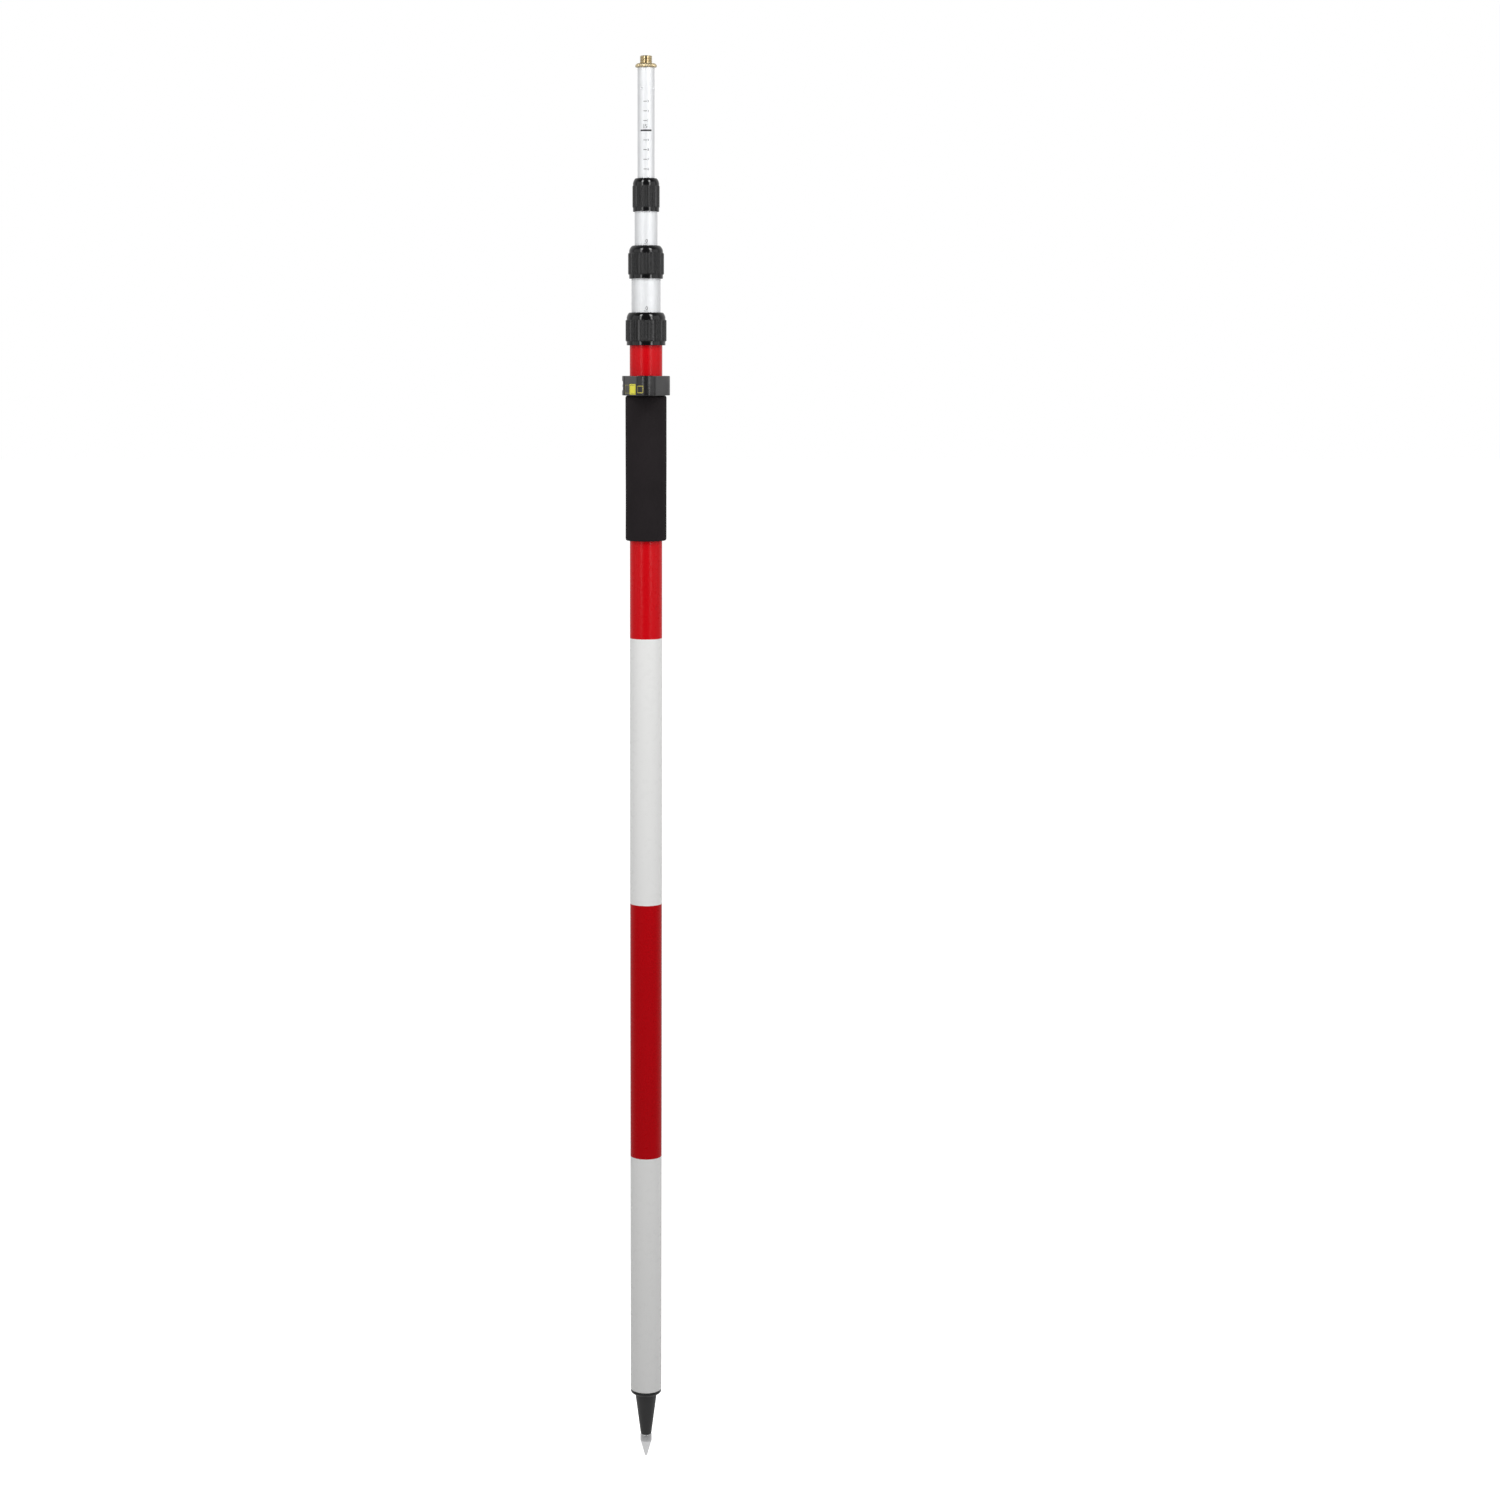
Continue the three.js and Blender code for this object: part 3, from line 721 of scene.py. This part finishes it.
def lock_ring(name, tube, flutes, depth, clearance, step):
    """A fluted ring. Its flutes stand step proud of a smooth skirt and a domed collar, depth is
    their own, and clearance is the gap in the ring's mouth round the tube that slides in it."""
    node = f"{name}_lock_ring"
    low, high = heights_of(node)
    outer = radius_of(node)
    smooth = outer - step
    mouth = radius_of(tube) + clearance
    base = radius_of(f"{name}_lock_base") + GAP

    def fluted(radii, levels, angles):
        swell = 0.5 - 0.5 * np.cos(angles * flutes)
        groove = ease((swell - FLUTE_START) / FLUTE_RISE)
        grooved = np.maximum(radii - depth * groove, smooth)
        return np.where(radii > smooth + SKIN, grooved, radii)

    profile = lock_profile(low, high, outer, smooth, mouth, base)
    made = turned(f"{name}_lock_ring_moulded", profile, GLOSS, flutes * 10, fluted, 50)
    return stands_for(made, f"{name}_ring", "gloss_black", node)


# ---- grip ------------------------------------------------------------------------------------
def foam_grip():
    """A foam sleeve, a little uneven along its length, with soft rolled ends."""
    low, high = heights_of("foam_grip")
    outer = radius_of("foam_grip")
    inner = MAIN_R + 0.05 * MM
    corners = [(inner, low), (outer, low), (outer, high), (inner, high)]
    profile = levelled(softened(corners, 2.6 * MM, True, 6), 4 * MM)

    def uneven(radii, levels, angles):
        wave = np.sin(levels * 71 + 2 * np.sin(angles)) * np.cos(angles * 2 + levels * 23)
        slow = np.sin(levels * 33 + angles)
        outside = ease((radii - inner) / (outer - inner))
        return radii - (0.10 * MM + 0.06 * MM * wave + 0.05 * MM * slow) * outside

    made = turned("foam_grip_sleeve", profile, FOAM, 128, uneven, 60)
    return stands_for(made, "main_pole", "black_foam", "foam_grip")


# ---- shoe, point and adapter -----------------------------------------------------------------
NECK_R = 7.6 * MM  # the shoe's neck, inside the tube
POINT_TAPER = 18 * MM
POINT_SHANK_R = 4 * MM


def shoe():
    low, high = heights_of("shoe_cone")
    tube_foot = heights_of("main_tube")[0]
    collar = radius_of("shoe_cone")
    cone_top = tube_foot - 4.5 * MM
    seat = tube_foot - GAP
    corners = [
        (0, low + 25 * MM),
        (POINT_SHANK_R + GAP, low + 23 * MM),
        (POINT_SHANK_R + GAP, low),
        (5.7 * MM, low),
        (6.2 * MM, low + 0.8 * MM),
        (12.1 * MM, cone_top - 2.0 * MM),
        (12.8 * MM, cone_top),
        (collar - 1.4 * MM, cone_top),
        (collar, cone_top + 1.4 * MM),
        (collar, seat),
        (NECK_R, seat),
        (NECK_R, high),
        (0, high),
    ]
    made = turned("shoe_moulded", softened(corners, 0.5 * MM, False), SATIN, 96)
    return stands_for(made, "main_pole", "satin_black", "shoe_cone")


def steel_point():
    low, high = heights_of("steel_point")
    outer = radius_of("steel_point")
    shoulder = heights_of("shoe_cone")[0] - GAP
    corners = [
        (0, low),
        (0.8 * MM, low + 0.15 * MM),
        (1.3 * MM, low + 0.9 * MM),
        (outer - 0.5 * MM, low + POINT_TAPER - 0.8 * MM),
        (outer, low + POINT_TAPER + 0.8 * MM),
        (outer, shoulder - 0.5 * MM),
        (outer - 0.5 * MM, shoulder),
        (POINT_SHANK_R, shoulder),
        (POINT_SHANK_R, high),
        (0, high),
    ]
    made = turned("steel_point_turned", softened(corners, 0.5 * MM, False), STEEL, 72)
    return stands_for(made, "main_pole", "bright_steel", "steel_point")


STUD_R = 6.5 * MM
THREAD_PITCH = 1.8 * MM
THREAD_DEPTH = 0.55 * MM
FLANGE_HEIGHT = 3.6 * MM
KNURLS = 60
KNURL_DEPTH = 0.28 * MM


def brass_adapter():
    """Shank, knurled flange and threaded stud in one turned piece."""
    low, high = heights_of("brass_adapter")
    flange = radius_of("brass_adapter")
    tube_top = heights_of("tube_4")[1]
    flange_low = tube_top + GAP
    flange_high = flange_low + FLANGE_HEIGHT
    shank = radius_of("tube_4") - 1.5 * MM
    root = STUD_R - THREAD_DEPTH
    stud_rows = [(STUD_R, z) for z in np.linspace(flange_high + 1.0 * MM, high - 0.5 * MM, 40)]
    profile = (
        [(0, low), (shank, low), (shank, flange_low), (flange - 0.5 * MM, flange_low)]
        + [(flange, z) for z in np.linspace(flange_low + 0.4 * MM, flange_high - 1.5 * MM, 5)]
        + [(flange - 1.45 * MM, flange_high), (root, flange_high)]
        + [(root, flange_high + 0.6 * MM)]
        + stud_rows
        + [(root, high - 0.05 * MM), (root - 0.5 * MM, high), (0, high)]
    )

    def machined(radii, levels, angles):
        phase = (levels / THREAD_PITCH - angles / TURN) % 1.0
        ridge = 1 - np.abs(2 * phase - 1)
        on_stud = (radii > root + 0.1 * MM) & (levels > flange_high + 0.7 * MM)
        threaded = np.where(on_stud, root + (STUD_R - root) * ease(ridge * 1.25), radii)
        knurl = np.abs(np.sin(angles * KNURLS / 2))
        on_rim = (radii > flange - 0.01 * MM) & (levels < flange_high)
        return np.where(on_rim, radii - KNURL_DEPTH * knurl, threaded)

    made = turned("brass_adapter_turned", profile, BRASS, 240, machined, 40)
    return stands_for(made, "section_4", "brass", "brass_adapter")


# ---- bracket ---------------------------------------------------------------------------------
def bracket_outline(inset):
    """The bracket's outline, inset all round: the ring, the tangent sides and the arm's end."""
    ring = np.linspace(-TANGENT, math.pi + TANGENT, 120)
    end = np.linspace(math.pi + TANGENT, TURN - TANGENT, 60)
    ring_r, end_r = RING_R - inset, ARM_R - inset
    return [(ring_r * math.cos(a), ring_r * math.sin(a)) for a in ring] + [
        (end_r * math.cos(a), end_r * math.sin(a) - REACH) for a in end
    ]


def bracket_blank():
    """The bracket with rounded edges, before anything is cut from it."""
    edge = 0.7 * MM
    steps = np.linspace(0, math.pi / 2, 5)
    levels = [(edge * (1 - math.sin(t)), BRACKET_LOW + edge * (1 - math.cos(t))) for t in steps]
    levels += [(inset, BRACKET_LOW + BRACKET_TOP - z) for inset, z in levels[::-1]]
    points, faces = [], []
    for inset, z in levels:
        points += [(x, y, z) for x, y in bracket_outline(inset)]
    count = len(points) // len(levels)
    for i in range(len(levels) - 1):
        for k in range(count):
            m = (k + 1) % count
            faces.append((i * count + k, i * count + m, (i + 1) * count + m, (i + 1) * count + k))
    faces.append(tuple(range(count - 1, -1, -1)))
    faces.append(tuple(range(len(points) - count, len(points))))
    return piece("bracket_machined", points, faces, ANODISED)


def drill(radius, low, high, at=(0, 0), flare=0.0, sides=96):
    """A cutter for a round hole along Z; flare widens its top end into a rounded edge."""
    profile = [(0, low), (radius, low)]
    if flare:
        profile += [
            (radius + flare * (1 - math.cos(t)), high - flare * (1 - math.sin(t)))
            for t in np.linspace(0, math.pi / 2, 5)
        ]
        high += 1 * MM
        profile.append((radius + flare, high))
    else:
        profile.append((radius, high))
    profile.append((0, high))
    made = turned("drill", profile, ANODISED, sides)
    return moved(made, Matrix.Translation((at[0], at[1], 0)))


SCREW_LINE = SIDE_NORMAL * ((MAIN_R + RING_R) / 2 + 0.2 * MM)
SCREW_PLACE = (
    Matrix.Translation((SCREW_LINE.x, SCREW_LINE.y, (BRACKET_LOW + BRACKET_TOP) / 2))
    @ Matrix.Rotation(math.atan2(SIDE_ALONG.y, SIDE_ALONG.x), 4, "Z")
    @ Matrix.Rotation(math.pi / 2, 4, "Y")
)
HEAD_SEAT = 4.4 * MM  # from the slot's middle to the clamp screw's seat, along the screw
SCREW_R = 1.5 * MM
SCREW_HEAD_R = 2.75 * MM
SCREW_HEAD_HEIGHT = 3 * MM
SCREW_END = 13 * MM  # from the slot's middle to the screw's tip
HEXAGON_R = 1.45 * MM
SLACK = 0.1 * MM  # the drilled holes' clearance round the screws' shanks
# The head's pocket is an oval, taller than deep, and shifted out through the ring's side. This
# makes it from a cutter of 1 mm radius.
POCKET_SHAPE = (
    Matrix.Translation((0, -1.3 * MM, 0))
    @ Matrix.Scale(5.5, 4, (1, 0, 0))
    @ Matrix.Scale(4.4, 4, (0, 1, 0))
)
VIAL_SCREW_CIRCLE = 4.3 * MM  # the radius that the vial's three screws are on
VIAL_SCREW_R = 1.15 * MM
VIAL_HEAD_R = 2.2 * MM
VIAL_HEAD_HEIGHT = 2.2 * MM
VIAL_HEXAGON_R = 1.1 * MM
COUNTERBORE_R = 2.5 * MM  # round the vial screws' heads
CLEARANCE_R = 1.45 * MM  # round their shanks
SLOT_CORNER = 0.85 * MM  # from the slot's middle to the corners of its square cutter
SLOT_STRETCH = 18  # how far that square is drawn out across the ring's wall
GROOVE_DEPTH = MM
VIAL_SCREWS = [
    (
        VIAL_SCREW_CIRCLE * math.cos(math.radians(turn)),
        VIAL_SCREW_CIRCLE * math.sin(math.radians(turn)) - REACH,
    )
    for turn in (90, 210, 330)
]


def clamp_cutters():
    """The clamp's slot, the V groove across its top, and the screw's pocket and hole."""
    middle = (BRACKET_LOW + BRACKET_TOP) / 2
    outward = Matrix.Rotation(math.pi + TANGENT, 4, "Z") @ Matrix.Translation((RING_R, 0, 0))
    stretch = Matrix.Scale(SLOT_STRETCH, 4, (1, 0, 0))
    square = Matrix.Rotation(math.pi / 4, 4, "Z")
    slot = moved(
        plug(SLOT_CORNER, -RING_R, RING_R, 4),
        outward @ Matrix.Translation((0, 0, middle)) @ stretch @ square,
    )
    groove = moved(
        plug(GROOVE_DEPTH, -RING_R, RING_R, 4),
        outward @ Matrix.Translation((0, 0, BRACKET_TOP)) @ Matrix.Rotation(math.pi / 2, 4, "Y"),
    )
    pocket = moved(plug(MM, -30 * MM, -HEAD_SEAT, 64), SCREW_PLACE @ POCKET_SHAPE)
    hole = moved(plug(SCREW_R + SLACK, -HEAD_SEAT - MM, SCREW_END + GAP, 40), SCREW_PLACE)
    return [slot, groove, pocket, hole]


def bracket():
    made = bracket_blank()
    low = BRACKET_LOW - 1 * MM
    cutters = [
        drill(MAIN_R + GAP, low, BRACKET_TOP, flare=0.5 * MM, sides=128),
        drill(CUP_R + GAP, CUP_BOTTOM - 2 * MM, BRACKET_TOP, (0, -REACH), 0.35 * MM),
    ]
    cutters += clamp_cutters()
    for at in VIAL_SCREWS:
        cutters.append(drill(COUNTERBORE_R, low, BRACKET_LOW + 3 * MM, at, sides=40))
        cutters.append(drill(CLEARANCE_R, low, CUP_BOTTOM, at, sides=32))
    made = fine_edges(cut(made, cutters))
    return stands_for(made, "bracket", "black_anodised", "bracket_body")


def socket_screw(name, node, place, head_r, head_h, shank_r, shank, hexagon):
    """A cap screw along +Z from its head's underside at 0, with a hexagon socket. Each screw
    is a body of its own, named as its node."""
    corners = [
        (0, -head_h),
        (head_r - 0.25 * MM, -head_h),
        (head_r, -head_h + 0.25 * MM),
        (head_r, 0),
        (shank_r, 0),
        (shank_r, shank),
        (0, shank),
    ]
    made = turned(name, softened(corners, 0.15 * MM, False, 2), SCREW, 64)
    socket = plug(hexagon, -head_h - MM, 0.55 * head_h - head_h, 6)
    made = fine_edges(cut(made, [socket]), 40)
    return stands_for(moved(made, place), node, "bright_steel", node)


def screws():
    clamp = SCREW_PLACE @ Matrix.Translation((0, 0, -HEAD_SEAT - GAP))
    shank = SCREW_END + HEAD_SEAT + GAP
    head = SCREW_HEAD_R, SCREW_HEAD_HEIGHT
    socket_screw("clamp_cap_screw", "clamp_screw", clamp, *head, SCREW_R, shank, HEXAGON_R)
    head = VIAL_HEAD_R, VIAL_HEAD_HEIGHT
    for i, (x, y) in enumerate(VIAL_SCREWS, 1):
        node = f"vial_screw_{i}"
        low, high = heights_of(node)
        place = Matrix.Translation((x, y, low + VIAL_HEAD_HEIGHT))
        shank = high - low - VIAL_HEAD_HEIGHT
        name = f"vial_cap_screw_{i}"
        socket_screw(name, node, place, *head, VIAL_SCREW_R, shank, VIAL_HEXAGON_R)


# ---- vial ------------------------------------------------------------------------------------
VIAL_PLACE = Matrix.Translation((0, -REACH, 0))
VIAL_BORE = CUP_R - 1.55 * MM
VIAL_FILL = VIAL_BORE - GAP
FLUID_LOW, FLUID_LEVEL = heights_of("vial_fluid")
LIP_R = 7.0 * MM  # the cup's rim turns in over the lens
LENS_DOME = 0.5 * MM
LINE_HEIGHT = 0.05 * MM
# Lines over the fluid, in millimetres: middle radius, width and lift.
VIAL_LINES = {
    "vial_circle": (3.45, 0.28, 0.10, INK),
    # The bubble's edge ring is painted shade.
    "painted_shade_ring_of_bubble": (2.3, 0.2, 0.13, PAINTED_BUBBLE_RING_SHADE),
}
BUBBLE_R = 2.2 * MM
BUBBLE_SUNK = 0.15 * MM
BUBBLE_HEIGHT = 0.27 * MM


def vial_cup():
    floor_height = CUP_BOTTOM + 1.9 * MM
    corners = [
        (0, CUP_BOTTOM),
        (CUP_R, CUP_BOTTOM),
        (CUP_R, CUP_TOP),
        (LIP_R, CUP_TOP),
        (LIP_R, CUP_TOP - 0.45 * MM),
        (VIAL_BORE, CUP_TOP - 0.55 * MM),
        (VIAL_BORE, floor_height),
        (0, floor_height),
    ]
    cup = turned("vial_cup_turned", softened(corners, 0.3 * MM, False, 5), GLOSS, 128)
    tapped = heights_of("vial_screw_1")[1] + SLACK
    tools = [
        drill(VIAL_SCREW_R + SLACK, CUP_BOTTOM - MM, tapped, at, sides=32) for at in VIAL_SCREWS
    ]
    cup = fine_edges(cut(moved(cup, VIAL_PLACE), tools))
    return stands_for(cup, "bracket", "gloss_black", "vial_cup")


def vial_inside():
    """The fluid and the domed lens over it, with a small gap round both."""
    corners = [(0, FLUID_LOW), (VIAL_FILL, FLUID_LOW), (VIAL_FILL, FLUID_LEVEL), (0, FLUID_LEVEL)]
    fluid = turned("vial_spirit_fill", softened(corners, 0.3 * MM, False), FLUID, 96)
    stands_for(moved(fluid, VIAL_PLACE), "bracket", "vial_fluid", "vial_fluid")

    low, high = heights_of("vial_lens")
    dome = [
        (VIAL_FILL * math.sin(t), high - LENS_DOME * (1 - math.cos(t)))
        for t in np.linspace(math.pi / 2, 0, 14)
    ]
    lens = turned("vial_lens_glass", [(0, low), (VIAL_FILL, low)] + dome, GLASS, 96)
    stands_for(moved(lens, VIAL_PLACE), "bracket", "vial_glass", "vial_lens")


def vial_marks():
    """The circle that the bubble is brought into, a painted shade ring for the bubble's edge, and
    the bubble.
    """
    for name, (middle, width, lift, material) in VIAL_LINES.items():
        low = FLUID_LEVEL + lift * MM
        inner, outer = (middle - width / 2) * MM, (middle + width / 2) * MM
        top = low + LINE_HEIGHT
        line = turned(name, [(inner, low), (outer, low), (outer, top), (inner, top)], material, 96)
        stands_for(moved(line, VIAL_PLACE), "bracket", "vial_fluid")

    foot = FLUID_LEVEL - BUBBLE_SUNK
    cap = [
        (BUBBLE_R * math.sin(t), foot + BUBBLE_HEIGHT * math.cos(t))
        for t in np.linspace(0, math.pi / 2, 10)
    ]
    bubble = turned("vial_bubble", cap + [(0, foot)], BUBBLE, 64)
    stands_for(moved(bubble, VIAL_PLACE), "bracket", "vial_fluid")


# ---- labels ----------------------------------------------------------------------------------
def film(name, low_corner, high_corner, thickness, material, proud):
    """A thin rounded film on the arm's flat side: corners are (along, height) in metres."""
    (left, bottom), (right, top) = low_corner, high_corner
    corner = 0.6 * MM
    outline = []
    for cx, cy, start in (
        (right - corner, bottom + corner, -math.pi / 2),
        (right - corner, top - corner, 0),
        (left + corner, top - corner, math.pi / 2),
        (left + corner, bottom + corner, math.pi),
    ):
        for t in np.linspace(0, math.pi / 2, 5):
            outline.append((cx + corner * math.cos(start + t), cy + corner * math.sin(start + t)))
    count = len(outline)
    points = []
    for out in (proud, proud + thickness):
        base = SIDE_NORMAL * (RING_R + out)
        points += [tuple(base + SIDE_ALONG * x + Vector((0, 0, y))) for x, y in outline]
    faces = [tuple(range(count)), tuple(range(2 * count - 1, count - 1, -1))]
    faces += [(k, (k + 1) % count, count + (k + 1) % count, count + k) for k in range(count)]
    return piece(name, points, faces, material)


LABEL_PROUD, LABEL_THICKNESS = 0.02 * MM, 0.14 * MM
BORDER_INSET, BORDER_LINE = 1.1 * MM, 0.3 * MM
# Each label's start and end along the arm's side, its film, its slot and its border's ink.
LABELS = {
    "dark_label": (1.4 * MM, 14 * MM, DARK_FILM, "label_dark", GOLD_INK),
    "yellow_label": (14.4 * MM, SIDE_LENGTH - 0.4 * MM, YELLOW, "label_yellow", INK),
}


def border(name, left, right, low, high, ink):
    """A rectangle of thin bars on a label, between these sides."""
    line = BORDER_LINE
    bars = (
        (left, right, low, low + line),
        (left, right, high - line, high),
        (left, left + line, low + line, high - line),
        (right - line, right, low + line, high - line),
    )
    base = SIDE_NORMAL * (RING_R + LABEL_PROUD + LABEL_THICKNESS + SKIN)
    points, faces = [], []
    for x0, x1, z0, z1 in bars:
        first = len(points)
        for x, z in ((x0, z0), (x1, z0), (x1, z1), (x0, z1)):
            points.append(tuple(base + SIDE_ALONG * x + Vector((0, 0, z))))
        faces.append(tuple(range(first, first + 4)))
    return piece(name, points, faces, ink)


def labels():
    low, high = heights_of("yellow_label")
    edge = BORDER_INSET
    for node, (left, right, material, slot, ink) in LABELS.items():
        made = film(
            f"{node}_film", (left, low), (right, high), LABEL_THICKNESS, material, LABEL_PROUD
        )
        stands_for(made, "bracket", slot, node)
        sides = left + edge, right - edge, low + edge, high - edge
        stands_for(border(f"{node}_border", *sides, ink), "bracket", slot)


# The bars of the arm's frame: start and end round it, foot and top as shares of a label.
ARM_BARS = [
    (3.4 * MM, 10.6 * MM, 0.78, 0.85),
    (3.4 * MM, 10.6 * MM, 0.15, 0.22),
    (3.4 * MM, 3.9 * MM, 0.22, 0.78),
    (10.1 * MM, 10.6 * MM, 0.22, 0.78),
]


def arm_marks():
    """A plain gold frame round the arm's end, where the real one carries small print."""
    low, high = heights_of("yellow_label")
    radius = ARM_R + SKIN
    start = math.pi + TANGENT
    points, faces = [], []
    for left, right, foot, top in ARM_BARS:
        steps = max(2, int((right - left) / (0.5 * MM)))
        first = len(points)
        for i in range(steps + 1):
            angle = start + (left + (right - left) * i / steps) / radius
            for share in (foot, top):
                z = low + (high - low) * share
                points.append((radius * math.cos(angle), radius * math.sin(angle) - REACH, z))
        for i in range(steps):
            k = first + 2 * i
            faces.append((k, k + 2, k + 3, k + 1))
    made = piece("arm_end_marks", points, faces, GOLD_INK)
    stands_for(made, "bracket", "label_dark")


# ---- CAD nodes that keep their own shape -----------------------------------------------------
KEPT = {
    "shoe_insert": ALUMINIUM,
    "tube_2_end_plug": NYLON,
    "tube_3_end_plug": NYLON,
    "tube_4_end_plug": NYLON,
    "vial_o_ring": RUBBER,
}
for lock in LOCKS:
    KEPT[f"{lock}_lock_base"] = SATIN
    KEPT[f"{lock}_lock_collet"] = SATIN


def keep_cad_nodes():
    for node, material in KEPT.items():
        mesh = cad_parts[node].data
        mesh.materials.clear()
        mesh.materials.append(material)


# ---- studio ----------------------------------------------------------------------------------
EYE_HEIGHT = 1.2365
EYE_DISTANCE = 2.915
EYE_PITCH = math.radians(8.3)
LENS = 64.6
SIDE_SHIFT = 0.0693  # the pole stands left of the picture's middle


def camera():
    data = bpy.data.cameras.new("camera")
    data.lens = LENS
    data.sensor_width = 36
    data.shift_x = SIDE_SHIFT
    made = bpy.data.objects.new("camera", data)
    made.location = (0, -EYE_DISTANCE, EYE_HEIGHT)
    made.rotation_euler = (math.pi / 2 - EYE_PITCH, 0, 0)
    bpy.context.scene.collection.objects.link(made)
    bpy.context.scene.camera = made


def panel(name, turn, distance, height, width, tall, radiance, aim):
    """A lit panel, turned that many degrees from the camera's side, that faces the pole at
    the height it is aimed at, or at its own height if that is None."""
    angle = math.radians(turn - 90)
    data = bpy.data.lights.new(name, "AREA")
    data.shape = "RECTANGLE"
    data.size, data.size_y = width, tall
    data.energy = radiance * math.pi * width * tall
    made = bpy.data.objects.new(name, data)
    made.location = (distance * math.cos(angle), distance * math.sin(angle), height)
    ahead = Vector((0, 0, height if aim is None else aim)) - made.location
    made.rotation_euler = ahead.to_track_quat("-Z", "Y").to_euler()
    made.visible_camera = False
    bpy.context.scene.collection.objects.link(made)


# The room's strength towards the camera's side, behind the pole, low down and at the table.
FRONT_LIGHT = 0.12
BACK_LIGHT = 0.74
LOW_LIGHT = 0.5
TABLE_LIGHT = 0.80


def backdrop():
    """A white sweep behind the pole, a dim room in front of it and a pale table below."""
    world = bpy.data.worlds.new("studio")
    world.use_nodes = True
    tree = world.node_tree

    def add(kind, **settings):
        node = tree.nodes.new("ShaderNode" + kind)
        for key, value in settings.items():
            setattr(node, key, value)
        return node

    def ramp(value, *ends):
        node = add("MapRange", interpolation_type="SMOOTHSTEP")
        tree.links.new(value, node.inputs["Value"])
        for key, end in zip(("From Min", "From Max", "To Min", "To Max"), ends):
            node.inputs[key].default_value = end
        return node.outputs["Result"]

    way = add("SeparateXYZ")
    tree.links.new(add("TexCoord").outputs["Generated"], way.inputs[0])
    strength = add("Math", operation="MULTIPLY")
    tree.links.new(ramp(way.outputs["Y"], -0.4, 0.5, FRONT_LIGHT, BACK_LIGHT), strength.inputs[0])
    tree.links.new(ramp(way.outputs["Z"], -0.3, 0.0, LOW_LIGHT, 1.0), strength.inputs[1])
    lowered = add("Mix")
    tree.links.new(ramp(way.outputs["Z"], -0.25, -0.6, 0.0, 1.0), lowered.inputs[0])
    tree.links.new(strength.outputs[0], lowered.inputs[2])
    lowered.inputs[3].default_value = TABLE_LIGHT
    shown = add("Mix")
    tree.links.new(add("LightPath").outputs["Is Camera Ray"], shown.inputs[0])
    tree.links.new(lowered.outputs[0], shown.inputs[2])
    shown.inputs[3].default_value = 1.0
    tree.links.new(shown.outputs[0], tree.nodes["Background"].inputs["Strength"])
    tree.nodes["Background"].inputs["Color"].default_value = (1, 1, 1, 1)
    bpy.context.scene.world = world


def floor():
    """Pale floor, seen but not lighting the pole, as a sweep lit apart would be."""
    bpy.ops.mesh.primitive_plane_add(size=60)
    made = bpy.context.object
    made.name = "studio_floor"
    made.visible_diffuse = False
    made.visible_glossy = False
    n = Nodes("pale_floor")
    tone = n.mixed(n.spread(n.noise(3, 3), 0, 1), (0.80, 0.80, 0.80, 1), (0.83, 0.83, 0.83, 1))
    made.data.materials.append(
        n.finish(
            {
                "Base Color": tone,
                "Roughness": 0.9,
                "Specular IOR Level": 0.0,
                "Emission Color": (1, 1, 1, 1),
                "Emission Strength": 0.75,
            }
        )
    )


# The lights on each side: degrees from the camera's side, distance, height, width, tallness,
# radiance, and the height that they are aimed at if it isn't their own.
LIGHTS = {
    "strip": (33, 1.7, 1.45, 0.3, 1.25, 6, None),
    "panel": (66, 1.7, 1.6, 1.4, 1.6, 1.0, None),
    "top": (35, 1.9, 2.9, 0.5, 1.0, 12.5, 1.0),
}
SIDES = {"left": (-1, 0.85), "right": (1, 1.0)}  # the turn's sign, and that side's share


def studio():
    floor()
    backdrop()
    for side, (sign, share) in SIDES.items():
        for kind, (turn, distance, height, width, tall, radiance, aim) in LIGHTS.items():
            name = f"{side}_{kind}"
            panel(name, turn * sign, distance, height, width, tall, radiance * share, aim)
    bpy.context.scene.view_settings.view_transform = "Standard"


# ---- assembly --------------------------------------------------------------------------------
camera()
studio()
keep_cad_nodes()
main_tube()
for section in (2, 3, 4):
    inner_tube(section)
printed_scale()
extension_marks(3)
extension_marks(2)
for lock, (tube, flutes, depth, clearance, step) in LOCKS.items():
    lock_ring(lock, tube, flutes, depth * MM, clearance * MM, step * MM)
foam_grip()
shoe()
steel_point()
brass_adapter()
bracket()
screws()
vial_cup()
vial_inside()
vial_marks()
labels()
arm_marks()
